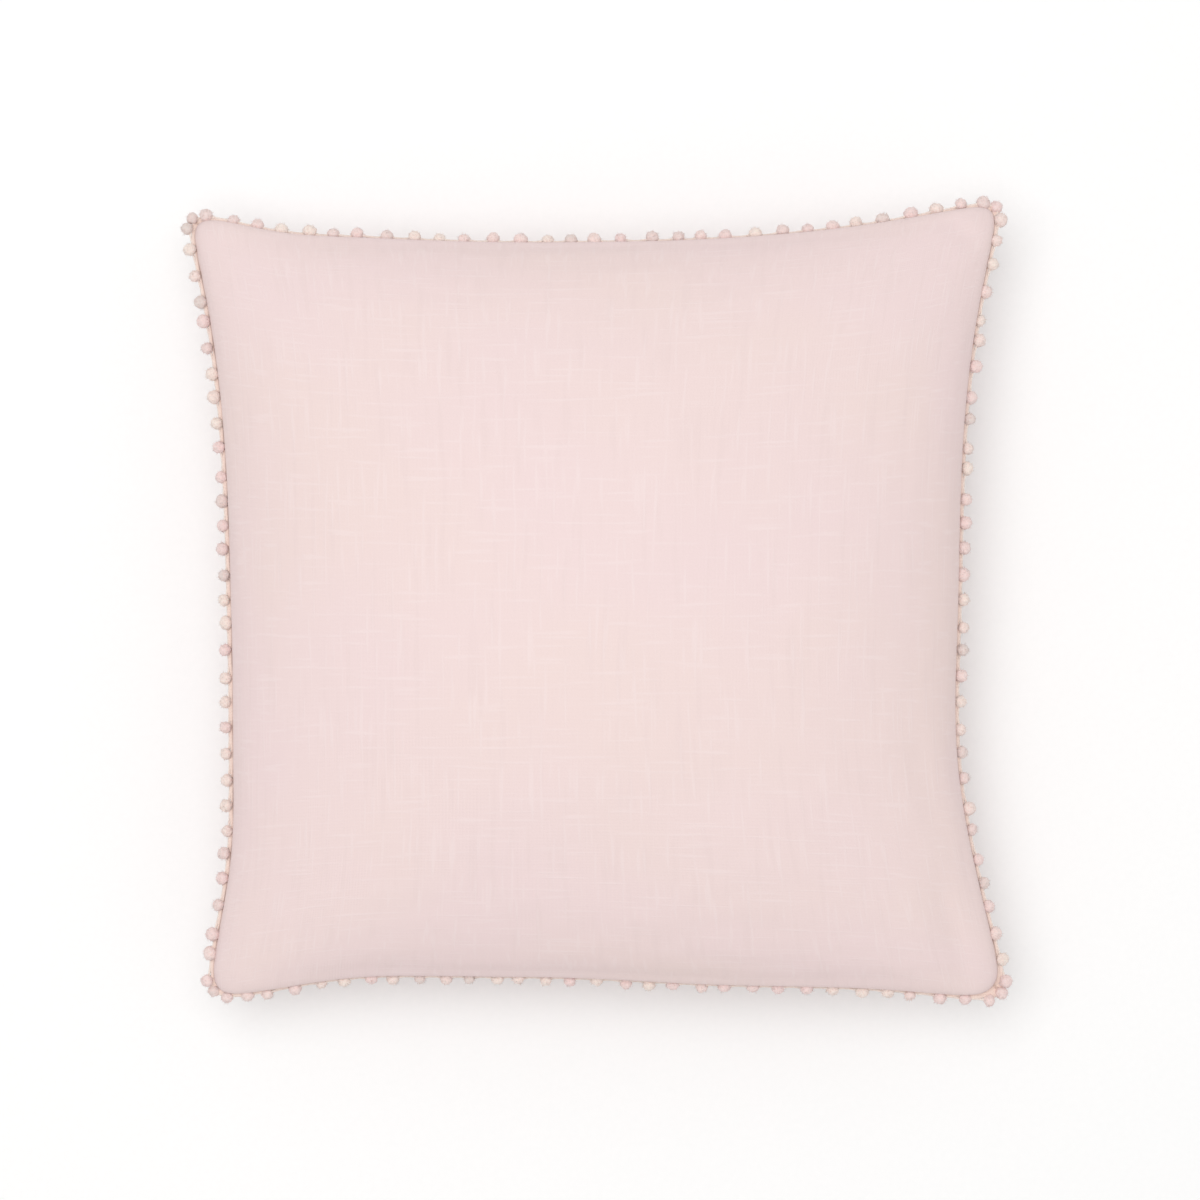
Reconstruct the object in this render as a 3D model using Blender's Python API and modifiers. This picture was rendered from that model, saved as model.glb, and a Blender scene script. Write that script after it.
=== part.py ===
"""Square knife-edged cushion with a bobble trim: zipped cover, filled insert and trim.

The cushion lies on its back. The origin is under its middle on the surface it rests on,
+Z points up out of the front face, +Y is the top edge and -Y the zipped bottom edge.
All sizes are in metres.
"""

import math

import bmesh
import bpy
from mathutils import Matrix, Vector

# Cover: seam corners from the middle, how far each side is pulled in, and the two crowns.
COVER_HALF_WIDTH = 0.1255
COVER_HALF_LENGTH = 0.1220
PULL_LEFT = 0.0120
PULL_RIGHT = 0.0110
PULL_TOP = 0.0095
PULL_BOTTOM = 0.0075
PULL_POWER = 3.0
SEAM_HEIGHT = 0.0380
FRONT_CROWN = 0.0450
BACK_CROWN = 0.0440
CROWN_POWER = 0.5
CORNER_DROOP = 0.0035
DROOP_POWER = 8.0
COVER_WALL = 0.0008
COVER_COLUMNS = 20
COVER_ROWS = 16

# Insert: how far its seam stays inside the cover's, its casing, and its gap to the cover.
INSERT_INSET = 0.0120
CASING_WALL = 0.0006
CASING_GAP = 0.0004
CASING_RIM = 0.0005
FILL_INSET = 0.0008
FILL_GAP = 0.0004
FILL_RIM = 0.00025
INSERT_SEGMENTS = 14

# Trim: a woven tape caught in the seam, and bobbles on a yarn along the tape's edge.
TAPE_THICKNESS = 0.0006
TAPE_INSIDE = 0.0060
TAPE_OUTSIDE = 0.0
MITRE_SHARE = 0.003
BOBBLE_DIAMETER = 0.0044
BOBBLES_PER_SIDE = 32
BOBBLE_STANDOFF = 0.0006
BOBBLE_RINGS = 2
YARN_RADIUS = 0.0004
TANGENT_STEP = 0.001
SEAM_GAP = 0.0003
PANEL_GAP = 0.0004

# Zip: a nylon coil zip under the bottom edge of the seam, with its slider and pull.
ZIP_CHAIN = 0.1780
ZIP_TAPE_END = 0.0180
ZIP_TAPE_THICKNESS = 0.0005
ZIP_DROP = 0.0065
ZIP_TAPE_SEGMENTS = 20
FLANGE_REACH = 0.0040
LOWER_TAPE_DEPTH = 0.0155
TAPE_STANDOFF = 0.0011
DEEPEST_TAPE_SHARE = 0.38
TAPE_FITTING_ROUNDS = 4
COIL_RADIUS = 0.0009
COIL_SPLIT = 0.0005
COIL_GAP = 0.0002
PANEL_EDGE_DROP = 0.0122
OPENING_MARGIN = 0.0120
OPENING_RAMP = 0.0100
STOP_LENGTH = 0.0020
STOP_GAP = 0.0003
SLIDER_LENGTH = 0.0090
SLIDER_WIDTH = 0.0066
SLIDER_PLATE = 0.0011
SLIDER_TAPER = 0.82
SLIDER_CLEARANCE = 0.00035
DIVIDER_THICKNESS = 0.0004
DIVIDER_LENGTH = 0.0030
BAIL_SPAN = 0.0049
BAIL_RISE = 0.0021
BAIL_RADIUS = 0.00045
BAIL_STEPS = 10
PULL_TAB_LENGTH = 0.0160
PULL_TAB_WIDTH = 0.0052
PULL_TAB_THICKNESS = 0.0010
PULL_EYE_LENGTH = 0.0027
PULL_EYE_WIDTH = 0.0024
PULL_TAB_CORNER = 0.0017
PULL_GRIP_WIDTH = 0.0016
PULL_GRIP_LENGTH = 0.0060
PULL_GRIP_MARGIN = 0.0021

FRONT = 1.0
BACK = -1.0

BLUSH_CLOTH = (0.885, 0.730, 0.712)
BLUSH_TRIM = (0.900, 0.745, 0.722)
WHITE_CASING = (0.880, 0.880, 0.870)
WHITE_FIBRE = (0.930, 0.930, 0.920)
BLUSH_ZIP = (0.800, 0.620, 0.600)
PALE_METAL = (0.720, 0.700, 0.680)


def clear_scene():
    for old in list(bpy.data.objects):
        bpy.data.objects.remove(old)


def make_collection(name, hidden=False):
    collection = bpy.data.collections.new(name)
    bpy.context.scene.collection.children.link(collection)
    collection.hide_render = hidden
    return collection


def make_material(name, colour, roughness, metallic=0.0):
    material = bpy.data.materials.new(name)
    material.use_nodes = True
    shader = material.node_tree.nodes["Principled BSDF"]
    shader.inputs["Base Color"].default_value = (*colour, 1.0)
    shader.inputs["Roughness"].default_value = roughness
    shader.inputs["Metallic"].default_value = metallic
    material.diffuse_color = (*colour, 1.0)
    return material


def add_object(collection, name, data, material, parent=None, location=(0.0, 0.0, 0.0)):
    piece = bpy.data.objects.new(name, data)
    piece.location = location
    collection.objects.link(piece)
    if material:
        data.materials.append(material)
    if parent:
        piece.parent = parent
    return piece


def mesh_from(name, bm, smooth=True):
    bmesh.ops.recalc_face_normals(bm, faces=bm.faces)
    mesh = bpy.data.meshes.new(name)
    bm.to_mesh(mesh)
    bm.free()
    if smooth:
        mesh.shade_smooth()
        mesh.set_sharp_from_angle(angle=math.radians(40.0))
    return mesh


def add_solidify(piece, thickness, offset):
    wall = piece.modifiers.new("wall", "SOLIDIFY")
    wall.thickness = thickness
    wall.offset = offset
    wall.use_even_offset = False


def blend_down(value, start, width):
    """One up to start, nought past start + width, and smooth between."""
    share = min(max((value - start) / width, 0.0), 1.0)
    return 1.0 - share * share * (3.0 - 2.0 * share)


# The cover's surface. s and t run from -1 to 1 across the width and the length.


def pulled(low, high, along, across):
    """How far the seam is pulled in at the end of along, at a place across from the middle."""
    pull = (low + high) / 2.0 + along * (high - low) / 2.0
    return pull * (1.0 - abs(across) ** PULL_POWER)


def plan_x(s, t, inset):
    return s * (COVER_HALF_WIDTH - inset - pulled(PULL_LEFT, PULL_RIGHT, s, t))


def plan_y(s, t, inset):
    return t * (COVER_HALF_LENGTH - inset - pulled(PULL_BOTTOM, PULL_TOP, t, s))


def seam_height(s, t, droop=CORNER_DROOP):
    return SEAM_HEIGHT - droop * abs(s * t) ** DROOP_POWER


def rise(s, t):
    return max((1.0 - s * s) * (1.0 - t * t), 0.0) ** CROWN_POWER


def dome_point(s, t, face, inset, crown_inset, rim, droop=CORNER_DROOP):
    """A point of the front or back dome, held above the surface the cushion rests on."""
    crown = (FRONT_CROWN if face == FRONT else BACK_CROWN) - crown_inset
    height = seam_height(s, t, droop) + face * (rim + (crown - rim) * rise(s, t))
    return Vector((plan_x(s, t, inset), plan_y(s, t, inset), max(height, crown_inset)))


def panel_rim():
    """Half the trim tape and the gap between it and each panel's edge."""
    return TAPE_THICKNESS / 2.0 + PANEL_GAP


def grid_of(columns, rows):
    bm = bmesh.new()
    bmesh.ops.create_grid(bm, x_segments=columns, y_segments=rows, size=1.0)
    return bm


def spread(share):
    """Grid lines closer together towards the seam, where the cloth turns fastest."""
    return math.sin(share * math.pi / 2.0)


# Zip places, worked out from the cover.


def zip_height():
    return SEAM_HEIGHT - ZIP_DROP


def panel_edge_y():
    """Where the back panel's straight edge lies along the zip, measured from the middle."""
    fall = (PANEL_EDGE_DROP - panel_rim()) / (BACK_CROWN - panel_rim())
    return abs(plan_y(0.0, -1.0, 0.0)) * math.sqrt(1.0 - fall ** (1.0 / CROWN_POWER))


def zip_y():
    """The middle plane of the zip tapes, just inside the back panel's edge."""
    return -(panel_edge_y() - COVER_WALL - TAPE_STANDOFF - ZIP_TAPE_THICKNESS / 2.0)


def coil_y():
    return zip_y() - ZIP_TAPE_THICKNESS / 2.0 - COIL_GAP - COIL_RADIUS


def coil_lift():
    """Each coil's axis above or below the chain's middle."""
    return COIL_SPLIT + COIL_RADIUS


def plate_outside():
    """The slider's outer plate: its inner face, measured out from the zip tapes' plane."""
    return abs(coil_y() - zip_y()) + COIL_RADIUS + SLIDER_CLEARANCE


def tape_point(x, out, depth):
    """A point of a zip tape: on the zip's plane, or just inside the back panel where that is nearer.

    The depth is under the seam, and stays within a share of the cushion's own depth there.
    """
    inset = COVER_WALL + TAPE_STANDOFF + ZIP_TAPE_THICKNESS / 2.0
    crown = BACK_CROWN - inset - panel_rim()
    s = x / (COVER_HALF_WIDTH - inset)
    for _ in range(TAPE_FITTING_ROUNDS):
        local_depth = crown * rise(s, 0.0)
        fall = min(max(depth - panel_rim(), 0.0) / local_depth, DEEPEST_TAPE_SHARE)
        t = -math.sqrt(1.0 - fall ** (1.0 / CROWN_POWER))
        s = x / (plan_x(math.copysign(1.0, x), t, inset) * math.copysign(1.0, x))
    lowered = min(depth, panel_rim() + DEEPEST_TAPE_SHARE * local_depth)
    return Vector((x, -min(out, abs(plan_y(s, t, inset))), seam_height(s, -1.0) - lowered))


def opening_cut(s, inset):
    """Share of the back panel's length that is cut away along the zip."""
    edge = (panel_edge_y() - inset) / abs(plan_y(s, -1.0, inset))
    half = ZIP_CHAIN / 2.0 + OPENING_MARGIN
    open_here = blend_down(abs(plan_x(s, -1.0, inset)), half, OPENING_RAMP)
    return max(1.0 - edge, 0.0) * open_here


# Sub-parts.


def make_panel(collection, name, face, material, parent):
    """One cover panel: the cloth's inner face, thickened outwards."""
    bm = grid_of(COVER_COLUMNS, COVER_ROWS)
    for vert in bm.verts:
        s = spread(vert.co.x)
        t = spread(vert.co.y)
        if face == BACK and t < 0.0:
            t *= 1.0 - opening_cut(s, COVER_WALL)
        vert.co = dome_point(s, t, face, COVER_WALL, COVER_WALL, panel_rim())
    mesh = mesh_from(name, bm)
    panel = add_object(collection, name, mesh, material, parent)
    orient_outwards(mesh, face)
    add_solidify(panel, COVER_WALL, 1.0)
    return panel


def orient_outwards(mesh, face):
    """Turns an open dome's faces so that its middle faces away from the cushion."""
    middle = min(mesh.polygons, key=lambda polygon: polygon.center.xy.length)
    if middle.normal.z * face < 0.0:
        mesh.flip_normals()


def make_casing(collection, name, face, material, parent):
    """One half of the insert's casing, thickened outwards."""
    bm = grid_of(INSERT_SEGMENTS, INSERT_SEGMENTS)
    inset = INSERT_INSET + CASING_WALL
    crown_inset = COVER_WALL + CASING_GAP + CASING_WALL
    for vert in bm.verts:
        s = spread(vert.co.x)
        t = spread(vert.co.y)
        vert.co = dome_point(s, t, face, inset, crown_inset, CASING_RIM, 0.0)
    mesh = mesh_from(name, bm)
    casing = add_object(collection, name, mesh, material, parent)
    orient_outwards(mesh, face)
    add_solidify(casing, CASING_WALL, 1.0)
    return casing


def make_fill(collection, material, parent):
    """The loose fibre as one closed pad: a grid extruded to a front and a back dome."""
    bm = grid_of(INSERT_SEGMENTS, INSERT_SEGMENTS)
    back_verts = list(bm.verts)
    made = bmesh.ops.extrude_face_region(bm, geom=list(bm.faces), use_keep_orig=True)
    front_verts = [item for item in made["geom"] if isinstance(item, bmesh.types.BMVert)]
    inset = INSERT_INSET + CASING_WALL + FILL_INSET
    crown_inset = COVER_WALL + CASING_GAP + CASING_WALL + FILL_GAP
    for verts, face in ((back_verts, BACK), (front_verts, FRONT)):
        for vert in verts:
            s = spread(vert.co.x)
            t = spread(vert.co.y)
            vert.co = dome_point(s, t, face, inset, crown_inset, FILL_RIM, 0.0)
    return add_object(collection, "fibre_fill", mesh_from("fibre_fill", bm), material, parent)


def side_point(side, along, offset):
    """A point on the seam's outline, moved out by offset, along one side from -1 to 1."""
    s, t = {
        "bottom": (along, -1.0),
        "right": (1.0, along),
        "top": (-along, 1.0),
        "left": (-1.0, -along),
    }[side]
    return Vector((plan_x(s, t, -offset), plan_y(s, t, -offset), seam_height(s, t)))


def make_trim_tape(collection, side, material, parent):
    """The tape's length along one side, mitred at both corners."""
    bm = grid_of(COVER_COLUMNS if side in ("bottom", "top") else COVER_ROWS, 1)
    for vert in bm.verts:
        offset = TAPE_OUTSIDE if vert.co.y < 0.0 else -TAPE_INSIDE
        vert.co = side_point(side, spread(vert.co.x) * (1.0 - MITRE_SHARE), offset)
    name = "trim_tape_" + side
    tape = add_object(collection, name, mesh_from(name, bm, smooth=False), material, parent)
    add_solidify(tape, TAPE_THICKNESS, 0.0)
    return tape


def bobble_offset():
    """How far out from the seam the bobbles' centres are."""
    return TAPE_OUTSIDE + BOBBLE_STANDOFF + BOBBLE_DIAMETER / 2.0


def bobble_stations(side, along):
    """Points and radii of one bobble, from yarn to yarn: rings of a sphere round the yarn."""
    radius = BOBBLE_DIAMETER / 2.0
    centre = side_point(side, along, bobble_offset())
    ahead = side_point(side, min(along + TANGENT_STEP, 1.0), bobble_offset())
    behind = side_point(side, max(along - TANGENT_STEP, -1.0), bobble_offset())
    tangent = (ahead - behind).normalized()
    stations = []
    for ring in range(-BOBBLE_RINGS, BOBBLE_RINGS + 1):
        turn = math.pi / 2.0 * ring / BOBBLE_RINGS
        width = max(radius * math.cos(turn), YARN_RADIUS)
        stations.append((centre + tangent * (radius * math.sin(turn)), width))
    return stations


def make_bobble_row(collection, side, material, parent):
    """Bobbles along one side, on a yarn that dips to the tape between each two."""
    pitch = 2.0 / BOBBLES_PER_SIDE
    dip = TAPE_OUTSIDE + SEAM_GAP + YARN_RADIUS
    stations = []
    for number in range(BOBBLES_PER_SIDE):
        along = -1.0 + number * pitch
        stations += bobble_stations(side, along)
        stations.append((side_point(side, along + pitch / 2.0, dip), YARN_RADIUS))
    last = side_point(side, 1.0, bobble_offset())
    back = (side_point(side, 1.0 - pitch / 2.0, bobble_offset()) - last).normalized()
    reach = BOBBLE_DIAMETER / 2.0 + SEAM_GAP + YARN_RADIUS
    stations.append((last + back * reach, YARN_RADIUS))
    name = "bobble_row_" + side
    curve = make_tube(name, [point for point, _ in stations], [width for _, width in stations], 1)
    return add_object(collection, name, curve, material, parent)


def make_tube(name, points, widths, resolution):
    """A closed tube through points, with its radius at each."""
    curve = bpy.data.curves.new(name, "CURVE")
    curve.dimensions = "3D"
    curve.bevel_depth = 1.0
    curve.bevel_resolution = resolution
    curve.use_fill_caps = True
    curve.twist_mode = "Z_UP"
    spline = curve.splines.new("POLY")
    spline.points.add(len(points) - 1)
    for place, point, width in zip(spline.points, points, widths):
        place.co = (*point, 1.0)
        place.radius = width
    return curve


def make_zip_tape(collection, name, rows, material, parent):
    """A zip tape through rows of (distance out from the middle, depth under the seam)."""
    bm = grid_of(ZIP_TAPE_SEGMENTS, len(rows) - 1)
    half = ZIP_CHAIN / 2.0 + ZIP_TAPE_END
    for vert in bm.verts:
        row = round((vert.co.y + 1.0) / 2.0 * (len(rows) - 1))
        out, depth = rows[row]
        vert.co = tape_point(vert.co.x * half, out, depth)
    tape = add_object(collection, name, mesh_from(name, bm, smooth=False), material, parent)
    add_solidify(tape, ZIP_TAPE_THICKNESS, 0.0)
    return tape


def upper_tape_rows():
    plane = abs(zip_y())
    top = TAPE_THICKNESS / 2.0 + SEAM_GAP + ZIP_TAPE_THICKNESS
    shoulder = ZIP_DROP - SLIDER_WIDTH / 2.0 - SEAM_GAP
    return [(plane, ZIP_DROP - COIL_SPLIT), (plane, shoulder), (plane + FLANGE_REACH, top)]


def lower_tape_rows():
    plane = abs(zip_y())
    shoulder = ZIP_DROP + SLIDER_WIDTH / 2.0 + SEAM_GAP
    middle = (shoulder + LOWER_TAPE_DEPTH) / 2.0
    depths = (ZIP_DROP + COIL_SPLIT, shoulder, middle, LOWER_TAPE_DEPTH)
    return [(plane, depth) for depth in depths]


def make_coil(collection, name, lift, material, parent):
    """One half of the chain, as the round bar its coil fills."""
    half = ZIP_CHAIN / 2.0
    height = zip_height() + lift
    ends = [Vector((-half, coil_y(), height)), Vector((half, coil_y(), height))]
    curve = make_tube(name, ends, [COIL_RADIUS, COIL_RADIUS], 2)
    return add_object(collection, name, curve, material, parent)


def box_mesh(name, size, bevel):
    """A box of this size about its own middle, with every edge bevelled."""
    bm = bmesh.new()
    bmesh.ops.create_cube(bm, size=1.0, matrix=Matrix.Diagonal((*size, 1.0)))
    bmesh.ops.bevel(
        bm, geom=list(bm.edges), offset=bevel, segments=1, affect="EDGES", profile=0.5, material=-1
    )
    return mesh_from(name, bm, smooth=False)


def make_stop(collection, name, x, lift, height, material, parent):
    """A metal stop clamped on the tape at the end of the chain."""
    size = (STOP_LENGTH, 2.0 * COIL_RADIUS, height)
    place = (x, coil_y(), zip_height() + lift)
    mesh = box_mesh(name, size, STOP_GAP)
    return add_object(collection, name, mesh, material, parent, place)


def plate_mesh(name, low, high):
    """A slider plate between two distances out from the tapes, narrower at its back end."""
    bm = bmesh.new()
    size = (SLIDER_LENGTH, high - low, SLIDER_WIDTH)
    place = Matrix.Translation((0.0, -(low + high) / 2.0, 0.0))
    bmesh.ops.create_cube(bm, size=1.0, matrix=place @ Matrix.Diagonal((*size, 1.0)))
    for vert in bm.verts:
        if vert.co.x < 0.0:
            vert.co.z *= SLIDER_TAPER
    bmesh.ops.bevel(
        bm,
        geom=[edge for edge in bm.edges if abs(edge.verts[0].co.y - edge.verts[1].co.y) > SEAM_GAP],
        offset=SLIDER_PLATE,
        segments=3,
        affect="EDGES",
        profile=0.5,
        material=-1,
    )
    return mesh_from(name, bm)


def bar_mesh(name, size, place):
    bm = bmesh.new()
    matrix = Matrix.Translation(place) @ Matrix.Diagonal((*size, 1.0))
    bmesh.ops.create_cube(bm, size=1.0, matrix=matrix)
    return mesh_from(name, bm, smooth=False)


def bail_mesh(name, base):
    """The arch that holds the pull, with both feet sunk into the outer plate."""
    half = BAIL_SPAN / 2.0
    points = [Vector((half, -(base - BAIL_RADIUS), 0.0))]
    for step in range(BAIL_STEPS + 1):
        turn = math.pi * step / BAIL_STEPS
        points.append(Vector((half * math.cos(turn), -(base + BAIL_RISE * math.sin(turn)), 0.0)))
    points.append(Vector((-half, -(base - BAIL_RADIUS), 0.0)))
    curve = make_tube(name, points, [BAIL_RADIUS] * len(points), 2)
    return mesh_of_curve(name, curve)


def mesh_of_curve(name, curve):
    """A curve's mesh with its caps welded on, so that it can be joined to another."""
    guide = bpy.data.objects.new(name + "_guide", curve)
    bpy.context.scene.collection.objects.link(guide)
    bpy.context.view_layer.update()
    graph = bpy.context.evaluated_depsgraph_get()
    mesh = bpy.data.meshes.new_from_object(guide.evaluated_get(graph))
    bpy.data.objects.remove(guide)
    bm = bmesh.new()
    bm.from_mesh(mesh)
    bmesh.ops.remove_doubles(bm, verts=bm.verts, dist=0.000001)
    bmesh.ops.recalc_face_normals(bm, faces=bm.faces)
    bm.to_mesh(mesh)
    bm.free()
    return mesh


def join_onto(piece, helpers, name, mesh):
    """Adds a mesh to piece with a Boolean union, as a hidden helper in the same place."""
    helper = add_object(helpers, name, mesh, None, piece)
    helper.hide_render = True
    helper.display_type = "WIRE"
    union = piece.modifiers.new(name, "BOOLEAN")
    union.operation = "UNION"
    union.solver = "EXACT"
    union.object = helper


def closed_slider_x():
    """The slider's middle when the zip is closed, just short of the top stops."""
    return ZIP_CHAIN / 2.0 - SLIDER_LENGTH / 2.0


def make_slider(collection, helpers, material, parent):
    """Outer and inner plates, lips over the coils, the divider between them and the bail."""
    place = (closed_slider_x(), zip_y(), zip_height())
    low = plate_outside()
    high = low + SLIDER_PLATE
    slider = add_object(
        collection, "zip_slider", plate_mesh("zip_slider", low, high), material, parent, place
    )
    inner_low = -(ZIP_TAPE_THICKNESS / 2.0 + SLIDER_CLEARANCE + SLIDER_PLATE)
    inner = plate_mesh("slider_inner_plate", inner_low, inner_low + SLIDER_PLATE)
    join_onto(slider, helpers, "slider_inner_plate", inner)
    overlap = SLIDER_PLATE / 2.0
    divider_low = inner_low + overlap
    divider_high = low + overlap
    divider = bar_mesh(
        "slider_divider",
        (DIVIDER_LENGTH, divider_high - divider_low, DIVIDER_THICKNESS),
        (SLIDER_LENGTH / 4.0, -(divider_low + divider_high) / 2.0, 0.0),
    )
    join_onto(slider, helpers, "slider_divider", divider)
    lip_low = ZIP_TAPE_THICKNESS / 2.0 + SLIDER_CLEARANCE
    lip_width = SLIDER_WIDTH / 2.0 - 2.0 * COIL_RADIUS - COIL_SPLIT - SLIDER_CLEARANCE
    for name, way in (("slider_lip_upper", 1.0), ("slider_lip_lower", -1.0)):
        size = (SLIDER_LENGTH / 2.0, divider_high - lip_low, lip_width)
        lift = way * (SLIDER_WIDTH / 2.0 - lip_width / 2.0 - SLIDER_CLEARANCE / 4.0)
        lip_place = (SLIDER_LENGTH / 8.0, -(lip_low + divider_high) / 2.0, lift)
        join_onto(slider, helpers, name, bar_mesh(name, size, lip_place))
    join_onto(slider, helpers, "slider_bail", bail_mesh("slider_bail", high))
    return slider


def pull_axis_out():
    """The pull's pivot, measured out from the tapes: halfway under the bail's arch."""
    return plate_outside() + SLIDER_PLATE + (BAIL_RISE - BAIL_RADIUS) / 2.0


def make_pull(collection, helpers, material, slider):
    """A flat tab whose eye goes round the bail, with its pivot at the end bar's middle."""
    bar = PULL_TAB_THICKNESS
    length = PULL_TAB_LENGTH
    bm = bmesh.new()
    size = Matrix.Diagonal((length, PULL_TAB_THICKNESS, PULL_TAB_WIDTH, 1.0))
    place = Matrix.Translation((bar / 2.0 - length / 2.0, 0.0, 0.0))
    bmesh.ops.create_cube(bm, size=1.0, matrix=place @ size)
    across = [edge for edge in bm.edges if abs(edge.verts[0].co.y - edge.verts[1].co.y) > bar / 2.0]
    bmesh.ops.bevel(
        bm, geom=across, offset=PULL_TAB_CORNER, segments=3, affect="EDGES", profile=0.5, material=-1
    )
    mesh = mesh_from("zip_pull", bm)
    pivot = (0.0, -pull_axis_out(), 0.0)
    pull = add_object(collection, "zip_pull", mesh, material, slider, pivot)
    eye_middle = -(bar / 2.0 + PULL_EYE_LENGTH / 2.0)
    grip_middle = bar / 2.0 - length + PULL_GRIP_MARGIN + PULL_GRIP_LENGTH / 2.0
    cuts = (
        ("pull_eye", (PULL_EYE_LENGTH, 4.0 * bar, PULL_EYE_WIDTH), eye_middle),
        ("pull_grip", (PULL_GRIP_LENGTH, 4.0 * bar, PULL_GRIP_WIDTH), grip_middle),
    )
    for name, cut_size, middle in cuts:
        cutter = add_object(
            helpers, name, bar_mesh(name, cut_size, (middle, 0.0, 0.0)), None, pull
        )
        cutter.hide_render = True
        cutter.display_type = "WIRE"
        cut = pull.modifiers.new(name, "BOOLEAN")
        cut.operation = "DIFFERENCE"
        cut.solver = "EXACT"
        cut.object = cutter
    return pull


def make_zip(collection, helpers, parent):
    cloth = make_material("zip_tape_polyester", BLUSH_ZIP, 0.8)
    nylon = make_material("zip_coil_nylon", BLUSH_ZIP, 0.45)
    metal = make_material("zip_painted_metal", PALE_METAL, 0.35, 0.8)
    make_zip_tape(collection, "zip_tape_upper", upper_tape_rows(), cloth, parent)
    make_zip_tape(collection, "zip_tape_lower", lower_tape_rows(), cloth, parent)
    make_coil(collection, "zip_coil_upper", coil_lift(), nylon, parent)
    make_coil(collection, "zip_coil_lower", -coil_lift(), nylon, parent)
    end = ZIP_CHAIN / 2.0 + STOP_GAP + STOP_LENGTH / 2.0
    single = 2.0 * COIL_RADIUS
    double = 2.0 * (coil_lift() + COIL_RADIUS)
    make_stop(collection, "zip_top_stop_upper", end, coil_lift(), single, metal, parent)
    make_stop(collection, "zip_top_stop_lower", end, -coil_lift(), single, metal, parent)
    make_stop(collection, "zip_bottom_stop", -end, 0.0, double, metal, parent)
    slider = make_slider(collection, helpers, metal, parent)
    make_pull(collection, helpers, metal, slider)


def main():
    clear_scene()
    parts = make_collection("ring_bearer_pillow")
    helpers = make_collection("cutters_and_helpers", hidden=True)
    root = bpy.data.objects.new("pillow_origin", None)
    parts.objects.link(root)
    cloth = make_material("cover_slub_cotton", BLUSH_CLOTH, 0.9)
    trim = make_material("trim_cotton", BLUSH_TRIM, 0.9)
    casing = make_material("casing_nonwoven", WHITE_CASING, 0.85)
    fibre = make_material("polyester_fibre", WHITE_FIBRE, 0.95)
    make_panel(parts, "front_panel", FRONT, cloth, root)
    make_panel(parts, "back_panel", BACK, cloth, root)
    make_casing(parts, "insert_casing_front", FRONT, casing, root)
    make_casing(parts, "insert_casing_back", BACK, casing, root)
    make_fill(parts, fibre, root)
    for side in ("bottom", "right", "top", "left"):
        make_trim_tape(parts, side, trim, root)
        make_bobble_row(parts, side, trim, root)
    make_zip(parts, helpers, root)


main()
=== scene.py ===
"""The looks of a square blush cushion with a mini bobble trim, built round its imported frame.

The cushion lies on its back on z = 0 with its front face up, +Y is its top edge and the zip is
under the trim of its -Y edge. Sizes are in metres unless a name says otherwise.
"""

import logging
import math
import random
from dataclasses import dataclass, field
from enum import Enum
from typing import Callable, Sequence

import bmesh
import bpy
import numpy as np
from mathutils import Matrix, Vector, noise
from mathutils.bvhtree import BVHTree


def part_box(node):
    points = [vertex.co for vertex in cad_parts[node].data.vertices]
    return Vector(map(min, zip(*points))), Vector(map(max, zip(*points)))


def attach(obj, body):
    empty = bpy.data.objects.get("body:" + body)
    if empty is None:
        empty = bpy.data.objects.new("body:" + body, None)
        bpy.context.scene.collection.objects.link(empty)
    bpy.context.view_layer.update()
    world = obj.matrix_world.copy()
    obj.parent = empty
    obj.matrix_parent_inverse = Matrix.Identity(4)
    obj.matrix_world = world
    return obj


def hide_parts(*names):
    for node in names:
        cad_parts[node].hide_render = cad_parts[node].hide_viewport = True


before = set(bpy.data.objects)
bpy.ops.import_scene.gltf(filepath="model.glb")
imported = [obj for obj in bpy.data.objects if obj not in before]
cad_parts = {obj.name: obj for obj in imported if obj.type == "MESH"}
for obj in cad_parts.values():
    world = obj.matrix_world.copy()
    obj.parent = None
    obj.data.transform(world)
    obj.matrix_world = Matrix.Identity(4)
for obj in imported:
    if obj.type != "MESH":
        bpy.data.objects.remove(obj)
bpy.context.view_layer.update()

log = logging.getLogger("pillow")

CUSHION = "cushion"
CLOTH_UV = "cloth"
TINT = "tint"
MM = 0.001
SEED = 7
SMOOTH = {"interpolation_type": "SMOOTHSTEP"}
# Points closer together than this are one point.
MERGE = 0.00001


class Face(Enum):
    """Which side of the cushion a panel is on; the value is its direction along Z."""

    FRONT = 1.0
    BACK = -1.0


class Side(Enum):
    """The four sides of the seam, in the order that the trim runs."""

    BOTTOM = "bottom"
    RIGHT = "right"
    TOP = "top"
    LEFT = "left"


# Small helpers that every class uses.


def linear_colour(code: str) -> tuple[float, float, float, float]:
    """Turns an sRGB hex colour into the linear colour that shaders take.

    Args:
        code: six hex digits after a hash sign.

    Returns:
        Red, green, blue and alpha.
    """
    channels = [int(code[i : i + 2], 16) / 255.0 for i in (1, 3, 5)]
    linear = [c / 12.92 if c <= 0.04045 else ((c + 0.055) / 1.055) ** 2.4 for c in channels]
    return (*linear, 1.0)


def per_metre(sizes_mm: tuple[float, float, float]) -> tuple[float, ...]:
    """How often each of a pattern's sizes, in millimetres, fits into a metre."""
    return tuple(1.0 / (size * MM) for size in sizes_mm)


def smooth_step(value: float, low: float, high: float) -> float:
    """Rises smoothly from 0 at low to 1 at high.

    Args:
        value: where to read it.
        low: where the rise starts.
        high: where the rise ends.

    Returns:
        A share from 0 to 1.
    """
    share = min(max((value - low) / (high - low), 0.0), 1.0)
    return share * share * (3.0 - 2.0 * share)


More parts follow.
